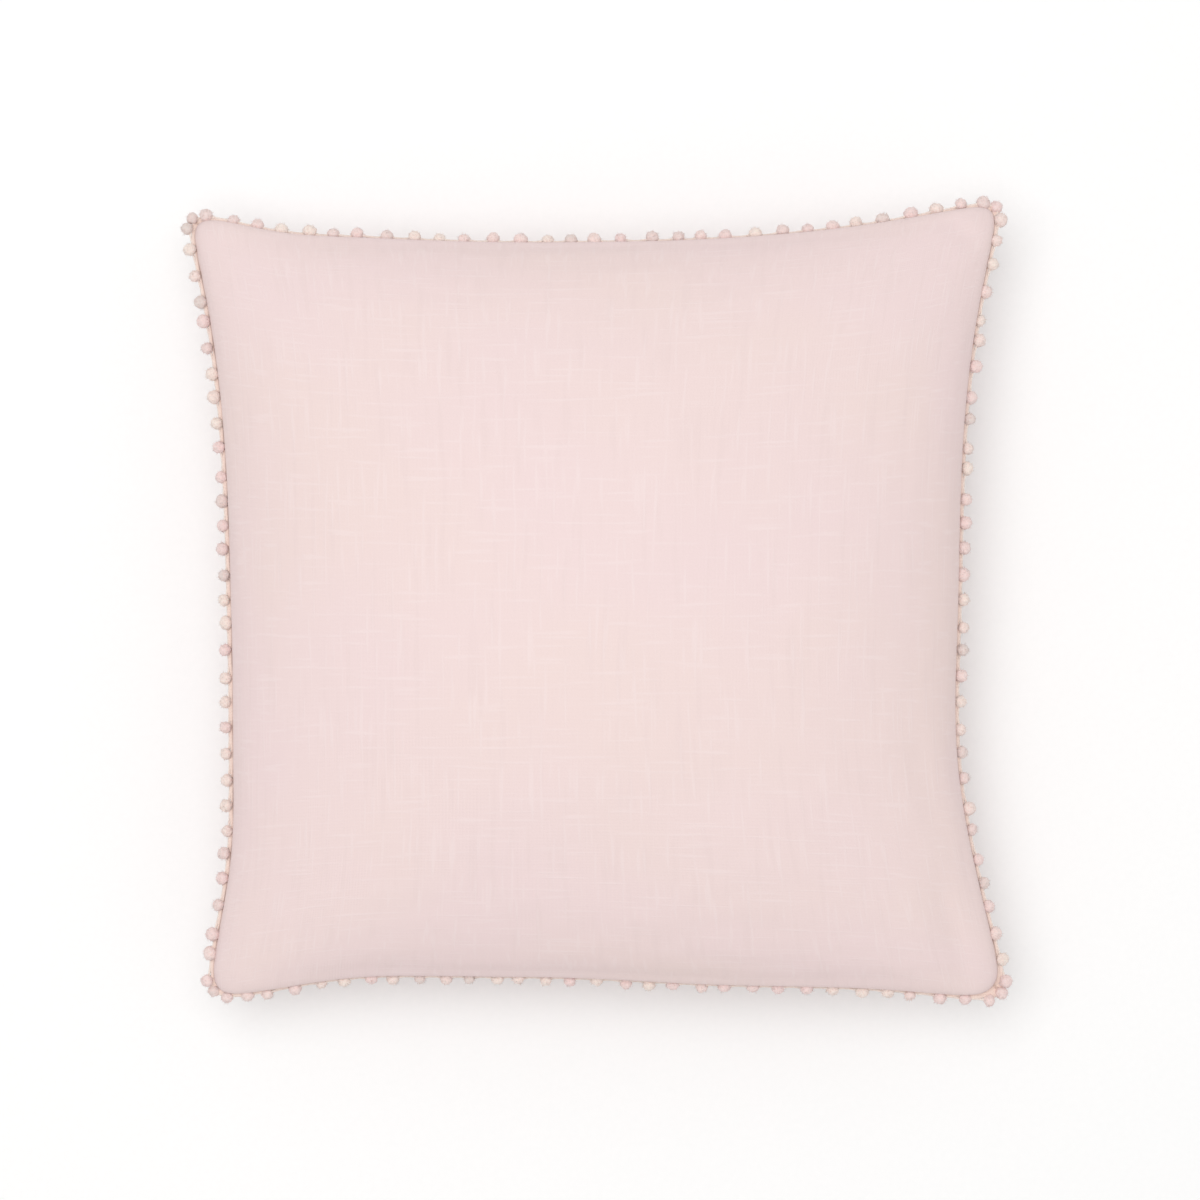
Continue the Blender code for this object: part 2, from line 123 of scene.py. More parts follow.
def search(low: float, high: float, halvings: int, falls_short: Callable[[float], bool]) -> float:
    """Finds where a test changes, by halving a range.

    Args:
        low: the range's start, where the test is true.
        high: the range's end.
        halvings: how often the range is halved.
        falls_short: the test.

    Returns:
        The last value found where the test is true.
    """
    for _ in range(halvings):
        middle = (low + high) / 2.0
        if falls_short(middle):
            low = middle
        else:
            high = middle
    return low


def new_object(name: str, mesh: bpy.types.Mesh, material: bpy.types.Material) -> bpy.types.Object:
    """Links a new object that shows a mesh at the origin.

    Args:
        name: the piece's name.
        mesh: its mesh, with the piece's place in it.
        material: the finish of all its faces.

    Returns:
        The object.
    """
    piece = bpy.data.objects.new(name, mesh)
    bpy.context.scene.collection.objects.link(piece)
    mesh.materials.clear()
    mesh.materials.append(material)
    return piece


def mesh_of(name: str, bm: bmesh.types.BMesh, smooth: bool = True) -> bpy.types.Mesh:
    """Turns a bmesh into a mesh and frees it.

    Args:
        name: the mesh's name.
        bm: the finished bmesh.
        smooth: whether its faces are shaded smooth.

    Returns:
        The mesh.
    """
    mesh = bpy.data.meshes.new(name)
    bm.to_mesh(mesh)
    bm.free()
    if smooth:
        mesh.shade_smooth()
    return mesh


def evaluated_mesh(piece: bpy.types.Object) -> bpy.types.Mesh:
    """Copies an object's mesh as its modifiers leave it.

    Args:
        piece: an object in the scene.

    Returns:
        A new mesh.
    """
    bpy.context.view_layer.update()
    graph = bpy.context.evaluated_depsgraph_get()
    return bpy.data.meshes.new_from_object(piece.evaluated_get(graph))


def cloth_grid(columns: int, rows: int) -> bmesh.types.BMesh:
    """Makes a flat grid, from -1 to 1 each way, that a cloth is shaped from.

    Args:
        columns: its faces across.
        rows: its faces up.

    Returns:
        The bmesh, with an empty UV map.
    """
    bm = bmesh.new()
    bmesh.ops.create_grid(bm, x_segments=columns, y_segments=rows, size=1.0)
    bm.loops.layers.uv.new(CLOTH_UV)
    return bm


def unwrap(bm: bmesh.types.BMesh, place: Callable[[bmesh.types.BMVert], tuple]) -> None:
    """Writes each point's place on the flat cloth into the UV map.

    Args:
        bm: the cloth.
        place: gives a point's place in metres.
    """
    layer = bm.loops.layers.uv[CLOTH_UV]
    for poly in bm.faces:
        for loop in poly.loops:
            loop[layer].uv = place(loop.vert)


def face_outwards(bm: bmesh.types.BMesh, face: Face) -> None:
    """Turns a panel's faces so that its middle faces away from the filling.

    Args:
        bm: the panel.
        face: the side of the cushion that it is on.
    """
    bm.normal_update()
    middle = min(bm.faces, key=lambda poly: poly.calc_center_median().xy.length)
    if middle.normal.z * face.value < 0.0:
        bmesh.ops.reverse_faces(bm, faces=bm.faces)


def round_tube(name: str, points: Sequence[Vector], radius: float) -> bpy.types.Mesh:
    """Makes a closed round tube through points.

    Args:
        name: the mesh's name.
        points: its middle line.
        radius: its radius.

    Returns:
        The mesh, with its caps welded on.
    """
    curve = bpy.data.curves.new(name, "CURVE")
    curve.dimensions = "3D"
    curve.bevel_depth = radius
    curve.bevel_resolution = 1
    curve.use_fill_caps = True
    spline = curve.splines.new("POLY")
    spline.points.add(len(points) - 1)
    for place, point in zip(spline.points, points):
        place.co = (*point, 1.0)
    guide = bpy.data.objects.new(name + "_guide", curve)
    bpy.context.scene.collection.objects.link(guide)
    mesh = evaluated_mesh(guide)
    bpy.data.objects.remove(guide)
    bm = bmesh.new()
    bm.from_mesh(mesh)
    bmesh.ops.remove_doubles(bm, verts=bm.verts, dist=0.000001)
    bmesh.ops.recalc_face_normals(bm, faces=bm.faces)
    bm.to_mesh(mesh)
    bm.free()
    return mesh


def thicken(piece: bpy.types.Object, thickness: float, offset: float, rounding: int = 0) -> None:
    """Gives an open surface its thickness.

    Args:
        piece: the object of the open surface.
        thickness: the cloth's thickness.
        offset: -1 for inwards, 0 for both ways, 1 for outwards.
        rounding: how often its faces are first divided by a subdivision surface.
    """
    if rounding:
        divided = piece.modifiers.new("rounding", "SUBSURF")
        divided.levels = divided.render_levels = rounding
    wall = piece.modifiers.new("thickness", "SOLIDIFY")
    wall.thickness = thickness
    wall.offset = offset
    wall.use_even_offset = False


def finish_piece(piece: bpy.types.Object, slot: str, *nodes: str) -> bpy.types.Object:
    """Ties a finished piece to the cushion, hides the frame's nodes that it stands for, and
    reports it.

    Args:
        piece: the finished object.
        slot: the record's material slot; not used.
        nodes: the frame's nodes that it replaces.

    Returns:
        The same object.
    """
    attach(piece, CUSHION)
    if nodes:
        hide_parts(*nodes)
    log.info("%s: %d faces, for %s", piece.name, len(piece.data.polygons), ", ".join(nodes) or "-")
    return piece


# Materials.


@dataclass(frozen=True)
class Nodes:
    """The nodes of one material, and the patterns that several finishes share.

    A Mix node has a socket of each kind: 0 is its share, 6 and 7 are its colours, and output 2
    is its mixed colour.
    """

    material: bpy.types.Material

    @classmethod
    def of(cls, name: str) -> "Nodes":
        """Starts a material that has only a Principled BSDF.

        Args:
            name: the material's name.

        Returns:
            Its nodes.
        """
        material = bpy.data.materials.new(name)
        material.use_nodes = True
        return cls(material)

    def feed(self, node: bpy.types.Node, inputs: dict) -> None:
        """Sets or links a node's inputs.

        Args:
            node: the node.
            inputs: by name or number, a value, a hex colour or the output that it is linked to.
        """
        for key, value in inputs.items():
            if isinstance(value, bpy.types.NodeSocket):
                self.material.node_tree.links.new(value, node.inputs[key])
            else:
                plain = linear_colour(value) if isinstance(value, str) else value
                node.inputs[key].default_value = plain

    def add(
        self, kind: str, inputs: dict | tuple = (), out: int | str = 0, **settings: object
    ) -> bpy.types.NodeSocket:
        """Adds one shader node with its settings and its links.

        Args:
            kind: the node's type, after the word ShaderNode.
            inputs: its inputs in their order, or by name or number as feed takes them.
            out: which output is wanted.
            settings: the node's own properties.

        Returns:
            The output.
        """
        node = self.material.node_tree.nodes.new("ShaderNode" + kind)
        for name, value in settings.items():
            setattr(node, name, value)
        self.feed(node, inputs if isinstance(inputs, dict) else dict(enumerate(inputs)))
        return node.outputs[out]

    def finish(self, inputs: dict[str, object]) -> bpy.types.Material:
        """Sets the Principled BSDF.

        Args:
            inputs: for each of its inputs, a value, a hex colour or an output.

        Returns:
            The finished material.
        """
        self.feed(self.material.node_tree.nodes["Principled BSDF"], inputs)
        return self.material

    def patches(
        self,
        place: bpy.types.NodeSocket,
        sizes_mm: tuple[float, float, float],
        span: tuple[float, float, float, float] | None = None,
        detail: float = 2.0,
    ) -> bpy.types.NodeSocket:
        """Uneven patches of a real size.

        Args:
            place: the place in metres.
            sizes_mm: the size of the patches along each axis.
            span: from low, from high, to low and to high, where the noise is mapped.
            detail: how many finer layers it has.

        Returns:
            The noise, about 0.5 on average, or what it is mapped to.
        """
        scaled = self.add("Mapping", {"Vector": place, "Scale": per_metre(sizes_mm)})
        inputs = {"Vector": scaled, "Scale": 1.0, "Detail": detail, "Roughness": 0.5}
        value = self.add("TexNoise", inputs)
        return self.add("MapRange", (value, *span), **SMOOTH) if span else value

    def weave(
        self, place: bpy.types.NodeSocket, thread_mm: tuple[float, float]
    ) -> bpy.types.NodeSocket:
        """A plain weave: each thread rises over one neighbour and dips under the next.

        Args:
            place: the place on the flat cloth, in metres.
            thread_mm: the spacing of the warp and the weft.

        Returns:
            The height, from 0 to about 1.
        """
        half_turns = (thread_mm[0] / math.pi, thread_mm[1] / math.pi, 1.0)
        turns = self.add("Mapping", {"Vector": place, "Scale": per_metre(half_turns)})
        parts = self.add("SeparateXYZ", (turns,)).node.outputs
        warp, weft = (self.add("Math", (part,), operation="SINE") for part in parts[:2])
        over = self.add("Math", (warp, weft), operation="MULTIPLY")
        warp_up = self.add("Math", (over, 0.5, 0.5), operation="MULTIPLY_ADD")
        weft_up = self.add("Math", (1.0, warp_up), operation="SUBTRACT")
        heights = []
        for thread, up in ((warp, warp_up), (weft, weft_up)):
            hump = self.add("Math", (thread,), operation="ABSOLUTE")
            heights.append(self.add("Math", (hump, up), operation="MULTIPLY"))
        return self.add("Math", tuple(heights), operation="ADD")


@dataclass(frozen=True)
class SlubCotton:
    """Garment-washed plain-weave cotton with slub yarns, piece dyed blush.

    The uneven yarns give the eye faint raised streaks both ways, a dry matt face and a soft
    bloom of loose fibre where the cloth turns away.
    """

    blush: str = "#E9D4D4"
    warm_blush: str = "#E9D5D1"
    pale_slub: str = "#EEDEDD"
    worn_dye: str = "#E3CFCD"
    bloom: str = "#FFF1EE"
    # The real threads are 0.4 mm apart, too fine to show: they are drawn twice as coarse.
    thread_mm: tuple[float, float] = (0.80, 0.84)
    slub_mm: tuple[float, float] = (1.1, 16.0)
    worn_streak_mm: tuple[float, float] = (2.2, 24.0)
    patch_mm: tuple[float, float] = (70.0, 56.0)
    slub_paleness: float = 0.35
    slub_relief_mm: float = 0.05
    weave_relief_mm: float = 0.07

    def build(self) -> bpy.types.Material:
        """Builds the material.

        Returns:
            The material.
        """
        nodes = Nodes.of("slub_cotton_plain_weave")
        place = nodes.add("UVMap", uv_map=CLOTH_UV)
        weave = nodes.weave(place, self.thread_mm)
        thick = (0.54, 0.74, 0.0, 1.0)
        warp = nodes.patches(place, (*self.slub_mm, 1.0), thick, 1.0)
        weft = nodes.patches(place, (*reversed(self.slub_mm), 1.0), thick, 1.0)
        slubs = nodes.add("Math", (warp, weft), operation="MAXIMUM")
        warmth = nodes.patches(place, (*self.patch_mm, 1.0), (0.3, 0.7, 0.1, 0.85))
        mix = {0: warmth, 6: self.blush, 7: self.warm_blush}
        colour = nodes.add("Mix", mix, 2, data_type="RGBA")
        thin = nodes.patches(place, (*self.worn_streak_mm, 1.0), (0.52, 0.72, 0.0, 0.30), 1.0)
        mix = {0: thin, 6: colour, 7: self.worn_dye}
        colour = nodes.add("Mix", mix, 2, data_type="RGBA")
        paler = nodes.add("Math", (slubs, self.slub_paleness), operation="MULTIPLY")
        mix = {0: paler, 6: colour, 7: self.pale_slub}
        colour = nodes.add("Mix", mix, 2, data_type="RGBA")
        fine = {"Height": weave, "Distance": self.weave_relief_mm * MM, "Strength": 0.55}
        relief = {"Height": slubs, "Distance": self.slub_relief_mm * MM, "Strength": 0.6}
        relief["Normal"] = nodes.add("Bump", fine)
        return nodes.finish(
            {
                "Base Color": colour,
                "Roughness": nodes.add("MapRange", (weave, 0.0, 1.0, 0.94, 0.84), **SMOOTH),
                "Normal": nodes.add("Bump", relief),
                "IOR": 1.53,
                "Specular IOR Level": 0.3,
                "Sheen Weight": 0.05,
                "Sheen Roughness": 0.45,
                "Sheen Tint": self.bloom,
            }
        )


@dataclass(frozen=True)
class HeaderBraid:
    """Narrow woven cotton header of the bobble trim, a shade peachier than the cloth.

    Its weft ribs give the eye fine bars across the tape between two corded edges.
    """

    peach: str = "#F4DDD2"
    shadow: str = "#E3C3B8"
    faded: str = "#F8E8E0"
    # Painted shade: a dark rose-brown line drawn into the braid where it leaves the seam, standing
    # in for the crevice's shadow.
    crease_shade: str = "#94756C"
    rib_mm: tuple[float, float] = (1.0, 0.6)
    worn_mm: tuple[float, float] = (9.0, 3.0)
    relief_mm: float = 0.16
    # Where the header leaves the seam, across its own width, and how wide the painted shade of its
    # crease is.
    crease_at_mm: float = 2.50
    crease_shade_half_mm: float = 0.45
    crease_shade_patch_mm: tuple[float, float] = (11.0, 40.0)
    # Between these places along the header the crease opens out towards the corner and its painted
    # shade fades away.
    crease_shade_ends: tuple[float, float] = (0.116, 0.122)

    def build(self) -> bpy.types.Material:
        """Builds the material.

        Returns:
            The material.
        """
        nodes = Nodes.of("cotton_header_braid")
        place = nodes.add("UVMap", uv_map=CLOTH_UV)
        weave = nodes.weave(place, self.rib_mm)
        hollow_shade = nodes.add("MapRange", (weave, 0.0, 0.7, 0.45, 0.0), **SMOOTH)
        colour = nodes.add("Mix", {0: hollow_shade, 6: self.peach, 7: self.shadow}, 2, data_type="RGBA")
        worn = nodes.patches(place, (*self.worn_mm, 1.0), (0.4, 0.7, 0.0, 0.25))
        colour = nodes.add("Mix", {0: worn, 6: colour, 7: self.faded}, 2, data_type="RGBA")
        along, across, _ = nodes.add("SeparateXYZ", (place,)).node.outputs
        # Painted shade: a broken dark line along the crease where the header leaves the seam,
        # fading out near the corners.
        off = nodes.add("Math", (across, self.crease_at_mm * MM), operation="SUBTRACT")
        off = nodes.add("Math", (off,), operation="ABSOLUTE")
        crease_shade_share = nodes.add("MapRange", (off, 0.0, self.crease_shade_half_mm * MM, 1.0, 0.0), **SMOOTH)
        depth = nodes.patches(place, (*self.crease_shade_patch_mm, 1.0), (0.35, 0.65, 0.10, 0.75), 1.0)
        along = nodes.add("Math", (along,), operation="ABSOLUTE")
        inner = nodes.add("MapRange", (along, *self.crease_shade_ends, 1.0, 0.0), **SMOOTH)
        for share in (depth, inner):
            crease_shade_share = nodes.add("Math", (crease_shade_share, share), operation="MULTIPLY")
        colour = nodes.add("Mix", {0: crease_shade_share, 6: colour, 7: self.crease_shade}, 2, data_type="RGBA")
        ribs = {"Height": weave, "Distance": self.relief_mm * MM, "Strength": 0.8}
        return nodes.finish(
            {
                "Base Color": colour,
                "Roughness": 0.88,
                "Normal": nodes.add("Bump", ribs),
                "IOR": 1.53,
                "Specular IOR Level": 0.3,
                "Sheen Weight": 0.15,
            }
        )


@dataclass(frozen=True)
class PompomYarn:
    """Soft-spun cotton yarn, tied and clipped into balls.

    The clipped ends give the eye a dense matt pile of tiny tufts, no two balls dyed quite alike.
    """

    pink: str = "#EFD8D5"
    cream: str = "#F1E3DA"
    grey_beige: str = "#DFD3CD"
    between_tufts_shade: str = "#D8BFB9"
    tuft_mm: float = 0.55
    relief_mm: float = 0.30

    def build(self) -> bpy.types.Material:
        """Builds the material.

        Returns:
            The material.
        """
        nodes = Nodes.of("clipped_cotton_yarn")
        lot = nodes.add("Attribute", out="Fac", attribute_name=TINT)
        creamy = nodes.add("MapRange", (lot, 0.0, 0.6, 1.0, 0.0), **SMOOTH)
        colour = nodes.add("Mix", {0: creamy, 6: self.pink, 7: self.cream}, 2, data_type="RGBA")
        greyed = nodes.add("MapRange", (lot, 0.62, 1.0, 0.0, 0.85), **SMOOTH)
        colour = nodes.add("Mix", {0: greyed, 6: colour, 7: self.grey_beige}, 2, data_type="RGBA")
        tufts = nodes.patches(nodes.add("TexCoord", out="Object"), (self.tuft_mm,) * 3)
        # Painted shade: a deeper colour in the low places between the tufts.
        between = nodes.add("MapRange", (tufts, 0.25, 0.55, 0.6, 0.0), **SMOOTH)
        colour = nodes.add("Mix", {0: between, 6: colour, 7: self.between_tufts_shade}, 2, data_type="RGBA")
        pile = {"Height": tufts, "Distance": self.relief_mm * MM, "Strength": 0.8}
        return nodes.finish(
            {
                "Base Color": colour,
                "Roughness": 0.93,
                "Normal": nodes.add("Bump", pile),
                "IOR": 1.53,
                "Specular IOR Level": 0.25,
                "Sheen Weight": 0.25,
                "Sheen Roughness": 0.5,
                "Subsurface Weight": 0.08,
                "Subsurface Radius": (0.9, 0.6, 0.5),
                "Subsurface Scale": 0.6 * MM,
            }
        )


@dataclass(frozen=True)
class DownproofCasing:
    """White plain-weave cotton casing of the insert.

    Close flat threads give the eye a cool white cloth with hardly any relief.
    """

    white: str = "#F0F0EE"
    shade: str = "#DEDEDC"
    thread_mm: tuple[float, float] = (0.6, 0.6)
    rumple_mm: float = 26.0
    relief_mm: float = 0.05

    def build(self) -> bpy.types.Material:
        """Builds the material.

        Returns:
            The material.
        """
        nodes = Nodes.of("white_cotton_casing")
        place = nodes.add("UVMap", uv_map=CLOTH_UV)
        sizes = (self.rumple_mm, self.rumple_mm, 1.0)
        rumpled = nodes.patches(place, sizes, (0.3, 0.7, 0.35, 0.0), 3.0)
        mix = {0: rumpled, 6: self.white, 7: self.shade}
        weave = nodes.weave(place, self.thread_mm)
        threads = {"Height": weave, "Distance": self.relief_mm * MM, "Strength": 0.6}
        return nodes.finish(
            {
                "Base Color": nodes.add("Mix", mix, 2, data_type="RGBA"),
                "Roughness": 0.86,
                "Normal": nodes.add("Bump", threads),
                "Specular IOR Level": 0.3,
            }
        )


@dataclass(frozen=True)
class HollowFibre:
    """Siliconised polyester staple, carded into batting.

    The crimped fibre gives the eye soft clumps with a faint gloss along the strands.
    """

    white: str = "#F6F6F4"
    hollow_shade: str = "#D8D8D6"
    clump_mm: tuple[float, float, float] = (9.0, 9.0, 5.0)
    strand_mm: tuple[float, float, float] = (0.8, 5.0, 0.8)
    relief_mm: float = 1.2

    def build(self) -> bpy.types.Material:
        """Builds the material.

        Returns:
            The material.
        """
        nodes = Nodes.of("polyester_batting")
        place = nodes.add("TexCoord", out="Object")
        clumps = nodes.patches(place, self.clump_mm, detail=3.0)
        strands = nodes.patches(place, self.strand_mm, detail=3.0)
        both = nodes.add("Math", (strands, 0.4, clumps), operation="MULTIPLY_ADD")
        # Painted shade: a greyer white where the clumps and strands are low.
        clump_shade_share = nodes.add("MapRange", (both, 0.45, 0.85, 1.0, 0.0), **SMOOTH)
        mix = {0: clump_shade_share, 6: self.white, 7: self.hollow_shade}
        crimp = {"Height": both, "Distance": self.relief_mm * MM, "Strength": 0.7}
        return nodes.finish(
            {
                "Base Color": nodes.add("Mix", mix, 2, data_type="RGBA"),
                "Roughness": 0.8,
                "Normal": nodes.add("Bump", crimp),
                "Sheen Weight": 0.4,
            }
        )


@dataclass(frozen=True)
class ZipRibbon:
    """Dyed polyester zip tape, woven in a fine rib.

    The lengthwise ribs give the eye close parallel lines with a slight gloss.
    """

    rose: str = "#E9C9C4"
    groove_shade: str = "#C9A19C"
    rib_mm: tuple[float, float] = (0.9, 0.7)
    relief_mm: float = 0.12

    def build(self) -> bpy.types.Material:
        """Builds the material.

        Returns:
            The material.
        """
        nodes = Nodes.of("polyester_zip_tape")
        weave = nodes.weave(nodes.add("UVMap", uv_map=CLOTH_UV), self.rib_mm)
        # Painted shade: a darker rose in the grooves between the ribs.
        hollow_shade = nodes.add("MapRange", (weave, 0.0, 0.6, 0.6, 0.0), **SMOOTH)
        mix = {0: hollow_shade, 6: self.rose, 7: self.groove_shade}
        ribs = {"Height": weave, "Distance": self.relief_mm * MM, "Strength": 0.8}
        return nodes.finish(
            {
                "Base Color": nodes.add("Mix", mix, 2, data_type="RGBA"),
                "Roughness": 0.62,
                "Normal": nodes.add("Bump", ribs),
                "Sheen Weight": 0.1,
            }
        )


@dataclass(frozen=True)
class NylonMonofilament:
    """Extruded nylon monofilament, dyed and heat set into a coil.

    It gives the eye a smooth, slightly clear plastic with a soft highlight on each turn.
    """

    rose: str = "#E6C2BD"
    hazed: str = "#F2D8D3"
    haze_mm: float = 1.5

    def build(self) -> bpy.types.Material:
        """Builds the material.

        Returns:
            The material.
        """
        nodes = Nodes.of("nylon_monofilament")
        haze = nodes.patches(nodes.add("TexCoord", out="Object"), (self.haze_mm,) * 3)
        paler = nodes.add("MapRange", (haze, 0.3, 0.7, 0.0, 0.35), **SMOOTH)
        mix = {0: paler, 6: self.rose, 7: self.hazed}
        return nodes.finish(
            {
                "Base Color": nodes.add("Mix", mix, 2, data_type="RGBA"),
                "Roughness": nodes.add("MapRange", (haze, 0.3, 0.7, 0.30, 0.42), **SMOOTH),
                "IOR": 1.53,
                "Subsurface Weight": 0.15,
                "Subsurface Radius": (0.8, 0.5, 0.4),
                "Subsurface Scale": 0.3 * MM,
            }
        )


@dataclass(frozen=True)
class PlatedZinc:
    """Die-cast zinc alloy, tumbled and plated in satin nickel.

    The tumbling gives the eye a soft metallic sheen with a fine orange-peel grain.
    """

    nickel: str = "#CFC8C1"
    dulled: str = "#A79F98"
    grain_mm: float = 0.35
    handled_mm: float = 3.0
    relief_mm: float = 0.02

    def build(self) -> bpy.types.Material:
        """Builds the material.

        Returns:
            The material.
        """
        nodes = Nodes.of("satin_plated_zinc")
        place = nodes.add("TexCoord", out="Object")
        grain = nodes.patches(place, (self.grain_mm,) * 3)
        handled = nodes.patches(place, (self.handled_mm,) * 3)
        dull = nodes.add("MapRange", (handled, 0.35, 0.7, 0.0, 0.6), **SMOOTH)
        mix = {0: dull, 6: self.nickel, 7: self.dulled}
        peel = {"Height": grain, "Distance": self.relief_mm * MM, "Strength": 0.5}
        return nodes.finish(
            {
                "Base Color": nodes.add("Mix", mix, 2, data_type="RGBA"),
                "Metallic": 1.0,
                "Roughness": nodes.add("MapRange", (handled, 0.3, 0.7, 0.26, 0.40), **SMOOTH),
                "Normal": nodes.add("Bump", peel),
            }
        )


@dataclass(frozen=True)
class SewingThread:
    """Spun polyester sewing thread, dyed to the cloth.

    Two plies give the eye a slight twist and a soft gloss on each stitch.
    """

    blush: str = "#EBCBC5"
    shaded: str = "#D3A9A2"
    twist_mm: float = 0.35
    relief_mm: float = 0.08

    def build(self) -> bpy.types.Material:
        """Builds the material.

        Returns:
            The material.
        """
        nodes = Nodes.of("spun_polyester_thread")
        ply = nodes.patches(nodes.add("TexCoord", out="Object"), (self.twist_mm,) * 3, detail=1.0)
        between = nodes.add("MapRange", (ply, 0.3, 0.7, 0.5, 0.0), **SMOOTH)
        mix = {0: between, 6: self.blush, 7: self.shaded}
        twist = {"Height": ply, "Distance": self.relief_mm * MM, "Strength": 0.7}
        return nodes.finish(
            {
                "Base Color": nodes.add("Mix", mix, 2, data_type="RGBA"),
                "Roughness": 0.6,
                "Normal": nodes.add("Bump", twist),
                "Sheen Weight": 0.1,
            }
        )


@dataclass(frozen=True)
class StudioPaper:
    """Matt white background paper.

    Its fine tooth gives the eye an even pale ground with no shine.
    """

    white: str = "#FBFBFB"
    hollow_shade: str = "#F6F6F6"
    tooth_mm: float = 2.0

    def build(self) -> bpy.types.Material:
        """Builds the material.

        Returns:
            The material.
        """
        nodes = Nodes.of("seamless_white_paper")
        place = nodes.add("TexCoord", out="Object")
        # Painted shade: the hollows of the paper's tooth are a touch greyer.
        tooth = nodes.patches(place, (self.tooth_mm,) * 3, (0.3, 0.7, 0.2, 0.0))
        mix = {0: tooth, 6: self.white, 7: self.hollow_shade}
        colour = nodes.add("Mix", mix, 2, data_type="RGBA")
        return nodes.finish({"Base Color": colour, "Roughness": 0.95})


# The cushion's plan, which every sub-assembly shares.


@dataclass(frozen=True)
class SeamPlan:
    """The seam's outline and the cover's heights.

    s and t run from -1 to 1 across the width and the length. The sizes are the frame's own;
    the drifts and the turned corners are how the soft cover has settled off its square.
    """

    half_width: float = 0.1255
    half_length: float = 0.1220
    pull_left: float = 0.0120
    pull_right: float = 0.0115
    pull_top: float = 0.0095
    pull_bottom: float = 0.0075
    pull_power: float = 3.0
    seam_z: float = 0.0380
    front_crown: float = 0.0440
    back_crown: float = 0.0415
    corner_droop: float = 0.0035
    droop_power: float = 8.0
    corner_turn: float = 0.0050
    turn_power: float = 20.0
    # How far each corner and each side's middle has moved, in millimetres.
    corner_drift_mm: dict = field(
        default_factory=lambda: {
            (-1, 1): (-4.0, 0.5),
            (1, 1): (2.6, 4.2),
            (-1, -1): (2.2, -3.8),
            (1, -1): (4.6, -4.4),
        }
    )
    middle_drift_mm: dict = field(
        default_factory=lambda: {
            (-1, 0): (-0.6, 0.0),
            (1, 0): (-1.2, 0.0),
            (0, 1): (0.0, -1.9),
            (0, -1): (0.0, -1.8),
        }
    )

    # Where a side wanders off its smooth curve: which side, the place along it, how far it
    # moves out in millimetres, and over what share of its half.
    wander: tuple[tuple[int, int, float, float, float], ...] = (
        (1, 0, -0.38, -2.6, 0.30),
        (0, -1, -0.60, -1.8, 0.22),
        (0, -1, 0.32, 2.2, 0.32),
        (0, 1, -0.76, -1.8, 0.17),
        (-1, 0, -0.62, -1.2, 0.18),
    )
    wander_power: float = 3.0

    def drift(self, s: float, t: float) -> Vector:
        """How far the cloth has settled off its square, blended from the eight known places.

        Args:
            s: place across the width.
            t: place up the length.

        Returns:
            The shift in X and Y.
        """
        shift = Vector((0.0, 0.0))
        for (i, j), move in self.corner_drift_mm.items():
            weight = (1.0 + s * i) * (1.0 + t * j) * (s * i + t * j - 1.0) / 4.0
            shift += Vector(move) * weight
        for (i, j), move in self.middle_drift_mm.items():
            weight = (1.0 - s * s) * (1.0 + t * j) if i == 0 else (1.0 - t * t) * (1.0 + s * i)
            shift += Vector(move) * (weight / 2.0)
        for i, j, middle, outward, span in self.wander:
            along = t if i else s
            nearness = max(s * i + t * j, 0.0) ** self.wander_power
            reach = outward * nearness * math.exp(-(((along - middle) / span) ** 2))
            shift += Vector((i, j)) * reach
        return shift * MM

    def pulled(self, low: float, high: float, along: float, across: float) -> float:
        """How far a side is pulled in.

        Args:
            low: the pull at the end where along is -1.
            high: the pull at the end where along is 1.
            along: the direction that is pulled.
            across: the place along the side.

        Returns:
            The distance.
        """
        pull = (low + high) / 2.0 + along * (high - low) / 2.0
        return pull * (1.0 - abs(across) ** self.pull_power)

    def plan(self, s: float, t: float, inset: float = 0.0, drifted: float = 1.0) -> Vector:
        """The place in X and Y.

        Args:
            s: place across the width.
            t: place up the length.
            inset: how far the outline is moved in.
            drifted: how much of the drift and the turned corners counts, 0 to 1.

        Returns:
            The place.
        """
        turn = self.corner_turn * abs(s * t) ** self.turn_power * drifted
        x = s * (
            self.half_width - inset - turn - self.pulled(self.pull_left, self.pull_right, s, t)
        )
        y = t * (
            self.half_length - inset - turn - self.pulled(self.pull_bottom, self.pull_top, t, s)
        )
        return Vector((x, y)) + self.drift(s, t) * drifted

    def seam_height(self, s: float, t: float) -> float:
        """The seam's height, which droops a little at the corners."""
        return self.seam_z - self.corner_droop * abs(s * t) ** self.droop_power

    def dome(self, s: float, t: float, face: Face) -> Vector:
        """A point of the cover before the filling has pushed it into shape.

        Args:
            s: place across the width.
            t: place up the length.
            face: the side of the cushion.

        Returns:
            The point.
        """
        crown = self.front_crown if face is Face.FRONT else self.back_crown
        rise = math.sqrt(max((1.0 - s * s) * (1.0 - t * t), 0.0))
        height = self.seam_height(s, t) + face.value * crown * rise
        place = self.plan(s, t)
        return Vector((place.x, place.y, height))

    def side_st(self, side: Side, along: float) -> tuple[float, float]:
        """The s and t of a place along one side, which runs anticlockwise from -1 to 1."""
        return {
            Side.BOTTOM: (along, -1.0),
            Side.RIGHT: (1.0, along),
            Side.TOP: (-along, 1.0),
            Side.LEFT: (-1.0, -along),
        }[side]

    def side_point(self, side: Side, along: float, outward: float) -> Vector:
        """A point on the seam's outline, moved outwards.

        Args:
            side: the side.
            along: the place along it.
            outward: how far out of the outline.

        Returns:
            The point.
        """
        s, t = self.side_st(side, along)
        place = self.plan(s, t, -outward)
        return Vector((place.x, place.y, self.seam_height(s, t)))


